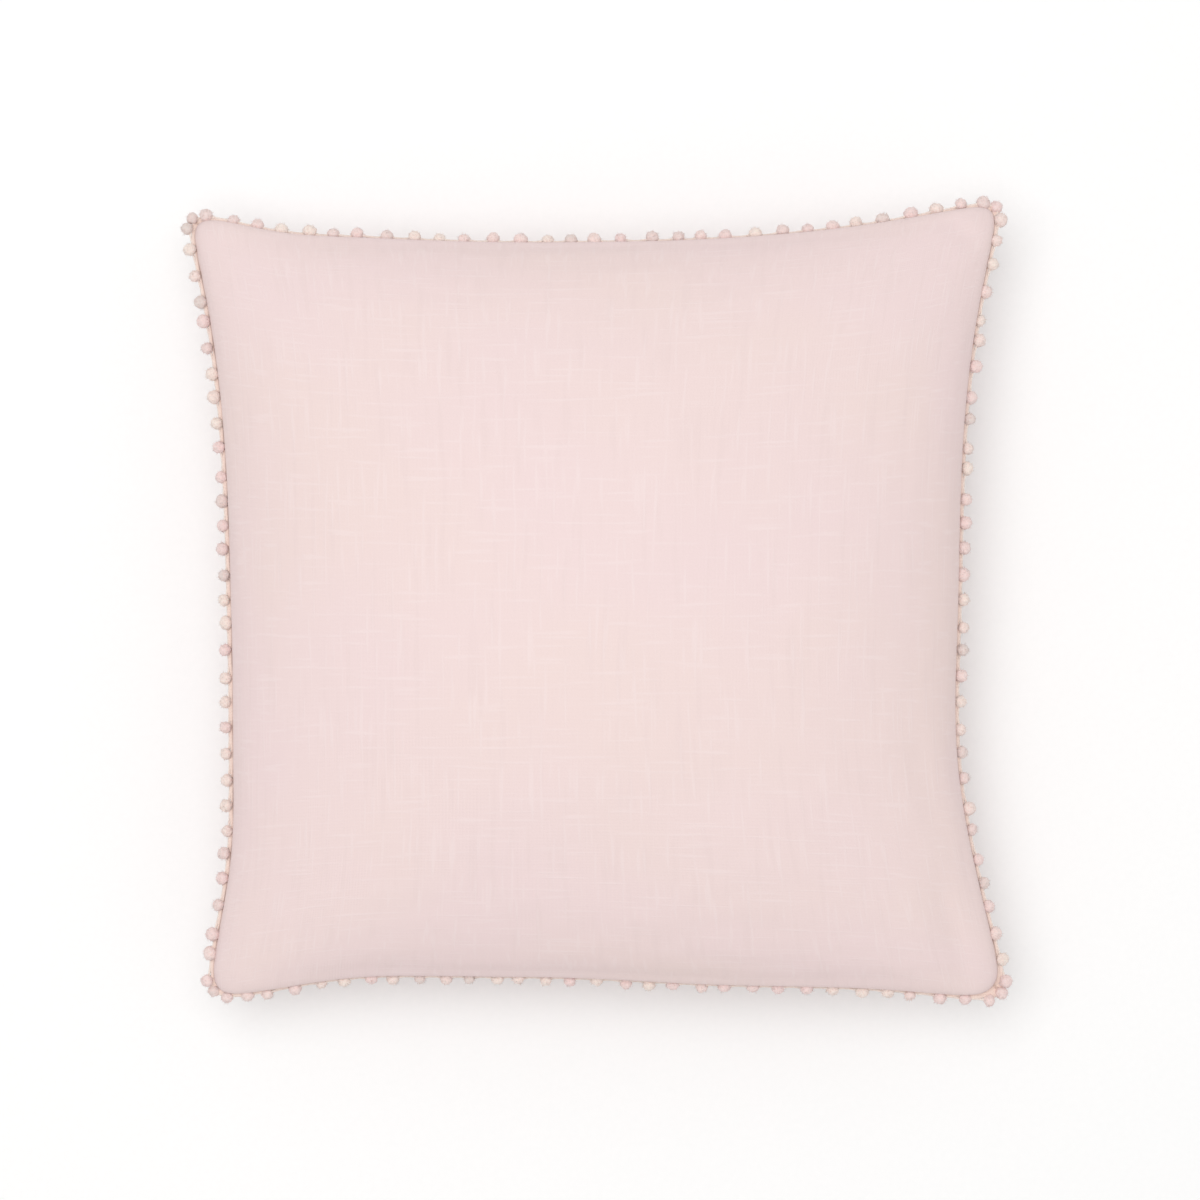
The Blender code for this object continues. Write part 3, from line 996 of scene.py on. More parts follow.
@dataclass(frozen=True)
class SoftFold:
    """A shallow soft fold pressed into the cover, in the cover's own s and t."""

    start: tuple[float, float]
    end: tuple[float, float]
    width: float
    depth: float

    def dip(self, s: float, t: float) -> float:
        """How deep the cover dips here.

        Args:
            s: place across the width.
            t: place up the length.

        Returns:
            The dip's depth.
        """
        start, end, here = Vector(self.start), Vector(self.end), Vector((s, t))
        line = end - start
        share = min(max((here - start).dot(line) / line.length_squared, 0.0), 1.0)
        away = (here - start - line * share).length
        fade = math.sin(math.pi * (0.12 + 0.88 * share))
        return self.depth * fade * math.exp(-((away / self.width) ** 2))


@dataclass
class Cover:
    """The cover: two panels of cloth blown up by their filling, with turnings in the seam."""

    plan: SeamPlan
    cloth: bpy.types.Material
    thread: bpy.types.Material
    cut_half: float = 0.1270
    columns: int = 76
    thickness: float = 0.0005
    fold_lift: float = 0.00065
    turning: float = 0.0070
    turning_depth: float = 0.0011
    # How far in the turning's first row lies, and how much each row sinks towards the header.
    first_turn: tuple[float, float] = (0.0012, -0.00005)
    turning_sink: float = -0.00010
    # The step, on the flat cloth, by which a point's neighbours are found.
    near: float = 0.01
    at_seam: float = 0.9999
    pressure: float = 3.2
    frames: int = 22
    most_move: float = 0.0070
    opening_half: float = 0.1020
    opening_ramp: float = 0.0042
    ground_clearance: float = 0.0001
    # How far the front bulges out over the header above each side of the seam, and how high.
    roll_mm: dict = field(
        default_factory=lambda: {(1, 0): 0.45, (-1, 0): 0.1, (0, 1): 1.2, (0, -1): 1.3}
    )
    roll_height: float = 0.0072
    # How near the seam, in s and t, the folds have died out.
    seam_hold: float = 0.035
    roll_power: float = 8.0
    rumple_height: float = 0.0009
    rumples: float = 2.3
    rumple_slice: float = 3.0
    # How far the front's turned-in corner stands back from the header.
    tucked_corner: float = 0.0022
    tucked_power: float = 16.0
    edge_y: float = 0.1104
    edge_limit: float = -0.6
    # Where, up the flat cloth, the back is straightened along the zip and where that ends.
    straight_span: tuple[float, float] = (-0.95, -0.55)
    zip_ramp: float = 0.02
    zip_row: float = -0.93
    hem_stitch_pitch: float = 0.0028
    hem_stitch_half: tuple[float, float, float] = (0.0011, 0.00021, 0.00017)
    hem_stitch_lift: float = 0.00010
    hem_in: float = 0.0035
    folds: tuple[SoftFold, ...] = (
        SoftFold((0.905, -0.995), (0.885, -0.66), 0.042, 0.0021),
        SoftFold((0.93, -0.70), (0.86, -0.25), 0.050, 0.0009),
        SoftFold((0.84, 0.985), (0.975, 0.87), 0.020, 0.0010),
        SoftFold((0.93, 0.93), (0.72, 0.80), 0.045, 0.0010),
        SoftFold((-0.96, 0.96), (-0.70, 0.74), 0.050, 0.0007),
        SoftFold((-0.96, -0.96), (-0.74, -0.66), 0.050, 0.0008),
        SoftFold((-0.20, -0.985), (-0.16, -0.80), 0.040, 0.0005),
        SoftFold((0.35, 0.985), (0.30, 0.82), 0.045, 0.0005),
        SoftFold((-0.985, 0.25), (-0.84, 0.20), 0.040, 0.0005),
        SoftFold((0.985, 0.10), (0.85, 0.06), 0.045, 0.0006),
    )
    surfaces: dict = field(default_factory=dict)

    def spread(self, share: float) -> float:
        """Even steps on the flat cloth, as steps in plan, where it turns down at the seam."""
        return math.sin(share * math.pi / 2.0)

    def closed_bag(self) -> bmesh.types.BMesh:
        """Both panels as one closed bag, with each point's place on the flat cloth.

        Returns:
            The bmesh, with the layers cut_a, cut_b and on_back.
        """
        bm = bmesh.new()
        layers = [bm.verts.layers.float.new(name) for name in ("cut_a", "cut_b", "on_back")]
        for face in Face:
            grid = bmesh.ops.create_grid(
                bm, x_segments=self.columns, y_segments=self.columns, size=1.0
            )
            for vert in grid["verts"]:
                a, b = vert.co.x, vert.co.y
                vert[layers[0]], vert[layers[1]] = a, b
                vert[layers[2]] = 0.0 if face is Face.FRONT else 1.0
                vert.co = self.plan.dome(self.spread(a), self.spread(b), face)
        bmesh.ops.remove_doubles(bm, verts=bm.verts, dist=MERGE)
        bmesh.ops.recalc_face_normals(bm, faces=bm.faces)
        return bm

    def blow_up(self) -> None:
        """Fills the bag with a cloth simulation, and keeps each panel's points as a grid."""
        bag = bpy.data.objects.new("bag", mesh_of("bag", self.closed_bag(), smooth=False))
        bpy.context.scene.collection.objects.link(bag)
        mesh = bag.data
        a, b, back = (self.read_layer(mesh, name) for name in ("cut_a", "cut_b", "on_back"))
        start = np.array([vert.co for vert in mesh.vertices])
        moved = self.simulate(bag, a, b)
        step = moved - start
        length = np.linalg.norm(step, axis=1, keepdims=True)
        limited = start + step * np.minimum(1.0, self.most_move / np.maximum(length, 1e-9))
        seam = np.maximum(np.abs(a), np.abs(b)) > self.at_seam
        limited[seam] = start[seam]
        for face in Face:
            on_face = seam | ((back > 0.5) == (face is Face.BACK))
            rows = np.round((b[on_face] + 1.0) / 2.0 * self.columns).astype(int)
            cols = np.round((a[on_face] + 1.0) / 2.0 * self.columns).astype(int)
            surface = np.zeros((self.columns + 1, self.columns + 1, 3))
            surface[rows, cols] = limited[on_face]
            self.surfaces[face] = surface
        bpy.data.objects.remove(bag)

    def read_layer(self, mesh: bpy.types.Mesh, name: str) -> np.ndarray:
        """Reads one number of each of a mesh's points.

        Args:
            mesh: the mesh.
            name: the attribute's name.

        Returns:
            The numbers.
        """
        values = np.zeros(len(mesh.vertices), np.float32)
        mesh.attributes[name].data.foreach_get("value", values)
        return values

    def simulate(self, bag: bpy.types.Object, a: np.ndarray, b: np.ndarray) -> np.ndarray:
        """Runs the cloth simulation on the bag, with the seam held.

        Args:
            bag: the closed bag.
            a: each point's place across the flat cloth, -1 to 1.
            b: each point's place up the flat cloth, -1 to 1.

        Returns:
            The points after it.
        """
        bag.shape_key_add(name="start")
        flat = bag.shape_key_add(name="cut")
        for index, place in enumerate(flat.data):
            place.co = Vector((a[index] * self.cut_half, b[index] * self.cut_half, 0.0))
        held = bag.vertex_groups.new(name="seam")
        on_seam = [i for i in range(len(a)) if max(abs(a[i]), abs(b[i])) > self.at_seam]
        held.add(on_seam, 1.0, "REPLACE")
        cloth = bag.modifiers.new("cloth", "CLOTH")
        settings = {
            "quality": 6,
            "mass": 0.15,
            "tension_stiffness": 30.0,
            "compression_stiffness": 30.0,
            "shear_stiffness": 12.0,
            "bending_stiffness": 2.5,
            "tension_damping": 12.0,
            "compression_damping": 12.0,
            "shear_damping": 12.0,
            "bending_damping": 2.0,
            "air_damping": 3.0,
            "vertex_group_mass": "seam",
            "rest_shape_key": flat,
            "use_pressure": True,
            "uniform_pressure_force": self.pressure,
        }
        for name, value in settings.items():
            setattr(cloth.settings, name, value)
        cloth.settings.effector_weights.gravity = 0.0
        cloth.collision_settings.use_collision = False
        scene = bpy.context.scene
        cloth.point_cache.frame_start = 1
        cloth.point_cache.frame_end = self.frames
        for number in range(1, self.frames + 1):
            scene.frame_set(number)
        result = evaluated_mesh(bag)
        moved = np.array([vert.co for vert in result.vertices])
        bpy.data.meshes.remove(result)
        scene.frame_set(1)
        return moved

    def settle(self) -> None:
        """Presses the soft folds in, and rests the back on the ground."""
        for face, surface in self.surfaces.items():
            for row in range(self.columns + 1):
                for col in range(self.columns + 1):
                    s = self.spread(2.0 * col / self.columns - 1.0)
                    t = self.spread(2.0 * row / self.columns - 1.0)
                    clear = 1.0 - max(abs(s), abs(t))
                    dips = sum(fold.dip(s, t) for fold in self.folds)
                    layer = self.rumple_slice + face.value
                    rumple = noise.noise(Vector((s * self.rumples, t * self.rumples, layer)))
                    lift = rumple * self.rumple_height - dips
                    lift *= smooth_step(clear, 0.0, self.seam_hold)
                    if face is Face.FRONT:
                        height = surface[row, col, 2] - self.plan.seam_height(s, t)
                        surface[row, col, :2] += self.rolled(s, t, height)
                    surface[row, col, 2] += face.value * lift
            if face is Face.BACK:
                surface[:, :, 2] = np.maximum(surface[:, :, 2], self.ground_clearance)

    def rolled(self, s: float, t: float, height: float) -> Vector:
        """How far the front's edge bulges over the header, and its tucked corner stands back.

        Args:
            s: place across the width.
            t: place up the length.
            height: how high the cloth is over the seam here.

        Returns:
            The shift in X and Y.
        """
        bulge = math.sin(math.pi * min(max(height / self.roll_height, 0.0), 1.0))
        shift = Vector((0.0, 0.0))
        for (i, j), far in self.roll_mm.items():
            nearness = max(s * i + t * j, 0.0) ** self.roll_power
            shift += Vector((i, j)) * (far * MM * nearness * bulge)
        corner = (max(s, 0.0) * max(-t, 0.0)) ** self.tucked_power
        return shift + Vector((-1.0, 1.0)) * (self.tucked_corner * corner)

    def point(self, face: Face, a: float, b: float) -> Vector:
        """A point of a panel, between the simulated ones.

        Args:
            face: the panel.
            a: place across the flat cloth, -1 to 1.
            b: place up the flat cloth, -1 to 1.

        Returns:
            The point.
        """
        surface = self.surfaces[face]
        x = min(max((a + 1.0) / 2.0, 0.0), 1.0) * self.columns
        y = min(max((b + 1.0) / 2.0, 0.0), 1.0) * self.columns
        col, row = min(int(x), self.columns - 1), min(int(y), self.columns - 1)
        u, v = x - col, y - row
        low = surface[row, col] * (1.0 - u) + surface[row, col + 1] * u
        high = surface[row + 1, col] * (1.0 - u) + surface[row + 1, col + 1] * u
        return Vector(low * (1.0 - v) + high * v)

    def opening_share(self, x: float) -> float:
        """How open the back panel is at a place along the zip, 0 to 1."""
        return 1.0 - smooth_step(abs(x), self.opening_half, self.opening_half + self.opening_ramp)

    def edge_b(self, a: float) -> float:
        """Where on the flat cloth the back panel's zip edge lies in this column.

        Args:
            a: place across the flat cloth.

        Returns:
            The place up the flat cloth: -1 where the panel reaches the seam.
        """
        x = self.point(Face.BACK, a, -1.0).x
        share = self.opening_share(x)
        if share <= 0.0:
            return -1.0
        edge = search(
            -1.0, self.edge_limit, 24, lambda b: self.zip_side_point(a, b).y < -self.edge_y
        )
        return -1.0 + (edge + 1.0) * share

    def zip_side_point(self, a: float, b: float) -> Vector:
        """A point of the back panel with the drift taken out towards the zip.

        Args:
            a: place across the flat cloth.
            b: place up the flat cloth.

        Returns:
            The point.
        """
        place = self.point(Face.BACK, a, b)
        share = self.opening_share(place.x) * (1.0 - smooth_step(b, *self.straight_span))
        shift = self.plan.drift(self.spread(a), self.spread(b))
        place.y -= shift.y * share
        return place

    def build_panel(self, face: Face) -> bpy.types.Object:
        """Builds one panel, with its turnings folded into the seam.

        Args:
            face: the panel.

        Returns:
            The panel's object.
        """
        bm = cloth_grid(self.columns, self.columns)
        flat = {}
        for vert in bm.verts:
            a, b = vert.co.x, vert.co.y
            edge = -1.0
            if face is Face.BACK and b < 0.0:
                edge = self.edge_b(a)
                b *= -edge
            flat[vert] = (a, b, edge)
            vert.co = self.zip_side_point(a, b) if face is Face.BACK else self.point(face, a, b)
        rim = [edge for edge in bm.edges if edge.is_boundary]
        origin = {vert: vert for edge in rim for vert in edge.verts}
        for vert in origin:
            vert.co.z += face.value * self.fold_lift * (1.0 - self.on_zip(flat[vert]))
        for inward, lift in (self.first_turn, (self.turning, self.turning_sink)):
            sources = {tuple(vert.co): source for vert, source in origin.items()}
            made = bmesh.ops.extrude_edge_only(bm, edges=rim)["geom"]
            rim = [item for item in made if isinstance(item, bmesh.types.BMEdge)]
            rim = [edge for edge in rim if edge.is_boundary]
            new_verts = {vert for edge in rim for vert in edge.verts}
            origin = {vert: sources[tuple(vert.co)] for vert in new_verts}
            for vert, source in origin.items():
                flat[vert] = flat[source]
                vert.co = self.turned_in(face, source, flat[source], inward, lift)
        unwrap(bm, lambda vert: (flat[vert][0] * self.cut_half, flat[vert][1] * self.cut_half))
        bmesh.ops.recalc_face_normals(bm, faces=bm.faces)
        face_outwards(bm, face)
        name = "front_cloth" if face is Face.FRONT else "back_cloth"
        panel = new_object(name, mesh_of(name, bm), self.cloth)
        thicken(panel, self.thickness, -1.0, rounding=1)
        return panel

    def on_zip(self, flat: tuple[float, float, float]) -> float:
        """How far a point of the rim belongs to the zip edge and not to the seam, 0 to 1."""
        a, b, edge = flat
        return smooth_step(1.0 + edge, 0.0, self.zip_ramp) if b < 0.0 and abs(a) < 1.0 else 0.0

    def turned_in(
        self,
        face: Face,
        source: bmesh.types.BMVert,
        flat: tuple[float, float, float],
        inward: float,
        lift: float,
    ) -> Vector:
        """Where a point of the turning lies, inside the seam or behind the zip edge.

        Args:
            face: the panel.
            source: the rim's own point.
            flat: its place on the flat cloth and the zip edge there.
            inward: how far it is turned in.
            lift: how far it sinks towards the header.

        Returns:
            The point.
        """
        a, b, _ = flat
        inset_s = 1.0 - inward / self.plan.half_width
        inset_t = 1.0 - inward / self.plan.half_length
        seam_side = Vector((source.co.x * inset_s, source.co.y * inset_t, source.co.z))
        seam_side.z += face.value * lift
        b += inward / self.cut_half
        behind = self.zip_side_point(a, b)
        across = self.zip_side_point(a + self.near, b) - self.zip_side_point(a - self.near, b)
        up = self.zip_side_point(a, b + self.near) - self.zip_side_point(a, b - self.near)
        outwards = across.cross(up).normalized() * face.value
        zip_side = behind - outwards * self.turning_depth
        return seam_side.lerp(zip_side, self.on_zip(flat))

    def build_hem_stitches(self) -> bpy.types.Object:
        """Builds the row of topstitches along the zip edge of the back panel.

        Returns:
            The stitches' object.
        """
        bm = bmesh.new()
        count = int(2.0 * self.opening_half / self.hem_stitch_pitch)
        for number in range(count):
            a = self.column_at(-self.opening_half + (number + 0.5) * self.hem_stitch_pitch)
            b = self.edge_b(a) + self.hem_in / self.cut_half
            here = self.zip_side_point(a, b)
            beside = self.zip_side_point(a + self.near, b)
            above = self.zip_side_point(a, b + self.near)
            tangent = (beside - here).normalized()
            normal = tangent.cross(above - here).normalized()
            if normal.z > 0.0:
                normal.negate()
            made = bmesh.ops.create_uvsphere(bm, u_segments=8, v_segments=5, radius=1.0)["verts"]
            turn = Matrix((tangent, normal.cross(tangent), normal)).transposed().to_4x4()
            shape = Matrix.Diagonal((*self.hem_stitch_half, 1.0))
            place = Matrix.Translation(here + normal * self.hem_stitch_lift)
            bmesh.ops.transform(bm, matrix=place @ turn @ shape, verts=made)
        bmesh.ops.recalc_face_normals(bm, faces=bm.faces)
        return new_object("zip_topstitching", mesh_of("zip_topstitching", bm), self.thread)

    def column_at(self, x: float) -> float:
        """The place across the flat cloth whose zip edge is at this X."""
        return search(-1.0, 1.0, 30, lambda a: self.zip_side_point(a, self.zip_row).x < x)

    def build(self) -> None:
        """Builds the cover's two sheets and the topstitches along its zip."""
        self.blow_up()
        self.settle()
        front = finish_piece(self.build_panel(Face.FRONT), "cover_cloth", "front_panel")
        back = finish_piece(self.build_panel(Face.BACK), "cover_cloth", "back_panel")
        finish_piece(self.build_hem_stitches(), "cover_cloth")


@dataclass
class Insert:
    """The insert: a casing in two halves and the fibre that fills it."""

    plan: SeamPlan
    cover: Cover
    casing: bpy.types.Material
    fibre: bpy.types.Material
    inset: float = 0.0126
    segments: int = 48
    wall: float = 0.0005
    clear_of_cover: float = 0.0012
    rim: float = 0.0006
    fibre_inset: float = 0.0160
    fibre_below_casing: float = 0.0010
    fibre_rim: float = 0.0003
    clump: float = 0.0011
    clumps_per_metre: float = 90.0
    trees: dict = field(default_factory=dict)

    def prepare(self) -> None:
        """Makes the trees that find the cover's inside."""
        for face in Face:
            surface = self.cover.surfaces[face]
            count = self.cover.columns + 1
            points = [Vector(point) for row in surface for point in row]
            polys = [
                (r * count + c, r * count + c + 1, (r + 1) * count + c + 1, (r + 1) * count + c)
                for r in range(count - 1)
                for c in range(count - 1)
            ]
            self.trees[face] = BVHTree.FromPolygons(points, polys)

    def room(self, face: Face, place: Vector) -> float:
        """How far the cover is from the seam's plane above or below a place.

        Args:
            face: the side of the cushion.
            place: the place in X and Y.

        Returns:
            The distance, at least 0.
        """
        seam = self.plan.seam_z
        start = Vector((place.x, place.y, seam))
        hit = self.trees[face].ray_cast(start, Vector((0.0, 0.0, face.value)))[0]
        return abs(hit.z - seam) if hit else 0.0

    def dome(self, face: Face, a: float, b: float, inset: float, gap: float, rim: float) -> Vector:
        """A point of the insert, as high as the cover lets it be.

        Args:
            face: the side of the cushion.
            a: place across the flat casing, -1 to 1.
            b: place up the flat casing, -1 to 1.
            inset: how far inside the cover's seam the outline is.
            gap: how far under the cover it stays.
            rim: its height over the seam's plane at the outline.

        Returns:
            The point.
        """
        s, t = self.cover.spread(a), self.cover.spread(b)
        place = self.plan.plan(s, t, inset)
        rise = math.sqrt(max((1.0 - s * s) * (1.0 - t * t), 0.0))
        room = max(self.room(face, place) - gap, 0.0)
        full = min(room, rim + (self.plan.front_crown - gap) * rise)
        height = self.plan.seam_z + face.value * max(full, rim)
        return Vector((place.x, place.y, height))

    def build_casing(self, face: Face) -> bpy.types.Object:
        """Builds one half of the casing.

        Args:
            face: the side of the cushion.

        Returns:
            The object.
        """
        bm = cloth_grid(self.segments, self.segments)
        half = self.plan.half_width - self.inset
        unwrap(bm, lambda vert: (vert.co.x * half, vert.co.y * half))
        for vert in bm.verts:
            a, b = vert.co.x, vert.co.y
            vert.co = self.dome(face, a, b, self.inset, self.clear_of_cover, self.rim)
        face_outwards(bm, face)
        name = "casing_front_half" if face is Face.FRONT else "casing_back_half"
        half_casing = new_object(name, mesh_of(name, bm), self.casing)
        thicken(half_casing, self.wall, -1.0, rounding=1)
        return half_casing

    def build_fibre(self) -> bpy.types.Object:
        """Builds the batting as one closed, clumpy pad.

        Returns:
            The object.
        """
        bm = bmesh.new()
        bmesh.ops.create_grid(bm, x_segments=self.segments, y_segments=self.segments, size=1.0)
        back = list(bm.verts)
        made = bmesh.ops.extrude_face_region(bm, geom=list(bm.faces), use_keep_orig=True)
        front = [item for item in made["geom"] if isinstance(item, bmesh.types.BMVert)]
        gap = self.clear_of_cover + self.wall + self.fibre_below_casing
        for verts, face in ((back, Face.BACK), (front, Face.FRONT)):
            for vert in verts:
                a, b = vert.co.x, vert.co.y
                point = self.dome(face, a, b, self.fibre_inset, gap, self.fibre_rim)
                lump = noise.noise(point * self.clumps_per_metre) * 0.5 + 0.5
                spare = abs(point.z - self.plan.seam_z) - self.fibre_rim
                depth = min(spare, self.clump * lump)
                point.z -= face.value * max(depth, 0.0)
                vert.co = point
        bmesh.ops.recalc_face_normals(bm, faces=bm.faces)
        return new_object("fibre_batting", mesh_of("fibre_batting", bm), self.fibre)

    def build(self) -> None:
        """Builds the insert's sheets and its pad."""
        self.prepare()
        for face, node in ((Face.FRONT, "insert_casing_front"), (Face.BACK, "insert_casing_back")):
            half = finish_piece(self.build_casing(face), "insert_casing", node)
        fibre = finish_piece(self.build_fibre(), "fibre", "fibre_fill")


@dataclass
class BobbleTrim:
    """The trim: a woven header caught in the seam, with clipped bobbles along its edge."""

    plan: SeamPlan
    braid: bpy.types.Material
    yarn: bpy.types.Material
    header_thickness: float = 0.0006
    header_inside: float = 0.0058
    header_outside: float = 0.0012
    header_columns: int = 150
    header_rows: int = 8
    # Each length of header stops just short of the corner, where the next one starts.
    header_reach: float = 0.9995
    scallop: float = 0.0003
    bobbles_per_side: int = 32
    bobble_radius: float = 0.00202
    # How far out of the seam, and how far over it, the bobbles of each side hang.
    bobble_out_mm: dict = field(
        default_factory=lambda: {
            Side.BOTTOM: 1.75,
            Side.RIGHT: 1.90,
            Side.TOP: 1.85,
            Side.LEFT: 2.20,
        }
    )
    bobble_lift_mm: dict = field(
        default_factory=lambda: {
            Side.BOTTOM: -0.2,
            Side.RIGHT: 0.2,
            Side.TOP: -0.2,
            Side.LEFT: 0.4,
        }
    )
    # How unevenly the bobbles are spaced, placed, sized and squashed.
    pitch_spread: float = 0.12
    place_spread_mm: float = 0.4
    size_span: tuple[float, float] = (0.9, 1.08)
    squash_spans: tuple[tuple[float, float], ...] = ((0.93, 1.05), (0.93, 1.05), (0.9, 1.0))
    tuft: float = 0.00034
    tufts: float = 4.6
    lumps: float = 1.4
    noise_room: float = 50.0
    fibres_per_bobble: int = 44
    fibre_length: float = 0.0008
    fibre_length_span: tuple[float, float] = (0.5, 1.2)
    fibre_radius: float = 0.00007
    yarn_radius: float = 0.00036
    yarn_dip: float = 0.00125
    yarn_steps: int = 8
    yarn_rise: float = 0.00030

    def build_header(self, side: Side) -> bpy.types.Object:
        """Builds the header's length along one side, with corded ribs.

        Args:
            side: the side.

        Returns:
            The object.
        """
        bm = cloth_grid(self.header_columns, self.header_rows)
        width = self.header_inside + self.header_outside
        unwrap(bm, lambda vert: (vert.co.x * self.plan.half_width, vert.co.y * width / 2.0))
        for vert in bm.verts:
            along, across = vert.co.x, vert.co.y
            outward = -self.header_inside + (across + 1.0) / 2.0 * width
            if across > 0.99:
                wave = math.cos(along * math.pi * self.bobbles_per_side)
                outward -= self.scallop * wave
            vert.co = self.plan.side_point(side, along * self.header_reach, outward)
        name = f"header_{side.value}"
        header = new_object(name, mesh_of(name, bm), self.braid)
        thicken(header, self.header_thickness, 0.0)
        return header

    def add_bobble(
        self, bm: bmesh.types.BMesh, centre: Vector, radius: float, dice: random.Random
    ) -> None:
        """Adds one clipped ball: a tufted sphere and the yarn ends that stand out of it.

        Args:
            bm: the row that gets it.
            centre: the ball's middle.
            radius: its radius.
            dice: the source of its unevenness.
        """
        tint_layer = bm.verts.layers.float[TINT]
        tint = dice.random()
        offset = Vector((dice.random(), dice.random(), dice.random())) * self.noise_room
        squash = Vector([dice.uniform(*span) for span in self.squash_spans])
        ball = bmesh.ops.create_icosphere(bm, subdivisions=3, radius=1.0)["verts"]
        for vert in ball:
            way = vert.co.normalized()
            tufts = noise.noise(way * self.tufts + offset)
            lumps = noise.noise(way * self.lumps + offset)
            reach = radius + self.tuft * tufts + 0.5 * self.tuft * lumps
            vert.co = centre + Vector(c * k for c, k in zip(way * reach, squash))
            vert[tint_layer] = tint
        for _ in range(self.fibres_per_bobble):
            way = Vector((dice.gauss(0, 1), dice.gauss(0, 1), dice.gauss(0, 1))).normalized()
            length = self.fibre_length * dice.uniform(*self.fibre_length_span)
            made = bmesh.ops.create_cone(
                bm,
                cap_ends=True,
                segments=3,
                radius1=self.fibre_radius,
                radius2=self.fibre_radius / 3.0,
                depth=length,
            )["verts"]
            turn = way.to_track_quat("Z", "Y").to_matrix().to_4x4()
            place = Matrix.Translation(centre + way * (radius + length * 0.25))
            bmesh.ops.transform(bm, matrix=place @ turn, verts=made)
            for vert in made:
                vert[tint_layer] = tint

    def yarn_points(self, side: Side) -> list[Vector]:
        """The yarn's way: through each ball, and dipping to the header between two.

        Args:
            side: the side.

        Returns:
            Points close enough together for a smooth tube.
        """
        points = []
        steps = self.bobbles_per_side * self.yarn_steps
        for number in range(steps + 1):
            along = -1.0 + 2.0 * number / steps
            wave = 0.5 - 0.5 * math.cos(math.pi * along * self.bobbles_per_side + math.pi)
            out = self.yarn_dip + self.yarn_rise * wave
            points.append(self.plan.side_point(side, along, out))
        return points

    def build_row(self, side: Side) -> bpy.types.Object:
        """Builds the bobbles of one side, with the yarn that ties them to the header.

        Args:
            side: the side.

        Returns:
            The object.
        """
        dice = random.Random(f"{SEED} {side.value}")
        bm = bmesh.new()
        bm.verts.layers.float.new(TINT)
        pitch = 2.0 / self.bobbles_per_side
        for number in range(self.bobbles_per_side):
            along = -1.0 + number * pitch
            if number:
                along += dice.uniform(-self.pitch_spread, self.pitch_spread) * pitch
            spread = self.place_spread_mm
            outward = (self.bobble_out_mm[side] + dice.uniform(-spread, spread)) * MM
            centre = self.plan.side_point(side, along, outward)
            centre.z += (self.bobble_lift_mm[side] + dice.uniform(-spread, spread)) * MM
            self.add_bobble(bm, centre, self.bobble_radius * dice.uniform(*self.size_span), dice)
        tube = round_tube(f"yarn_{side.value}", self.yarn_points(side), self.yarn_radius)
        bm.from_mesh(tube)
        bpy.data.meshes.remove(tube)
        bmesh.ops.recalc_face_normals(bm, faces=bm.faces)
        name = f"bobbles_{side.value}"
        return new_object(name, mesh_of(name, bm), self.yarn)

    def build(self) -> None:
        """Builds the trim's four sides."""
        for side in Side:
            finish_piece(self.build_header(side), "trim", f"trim_tape_{side.value}")
            finish_piece(self.build_row(side), "trim", f"bobble_row_{side.value}")


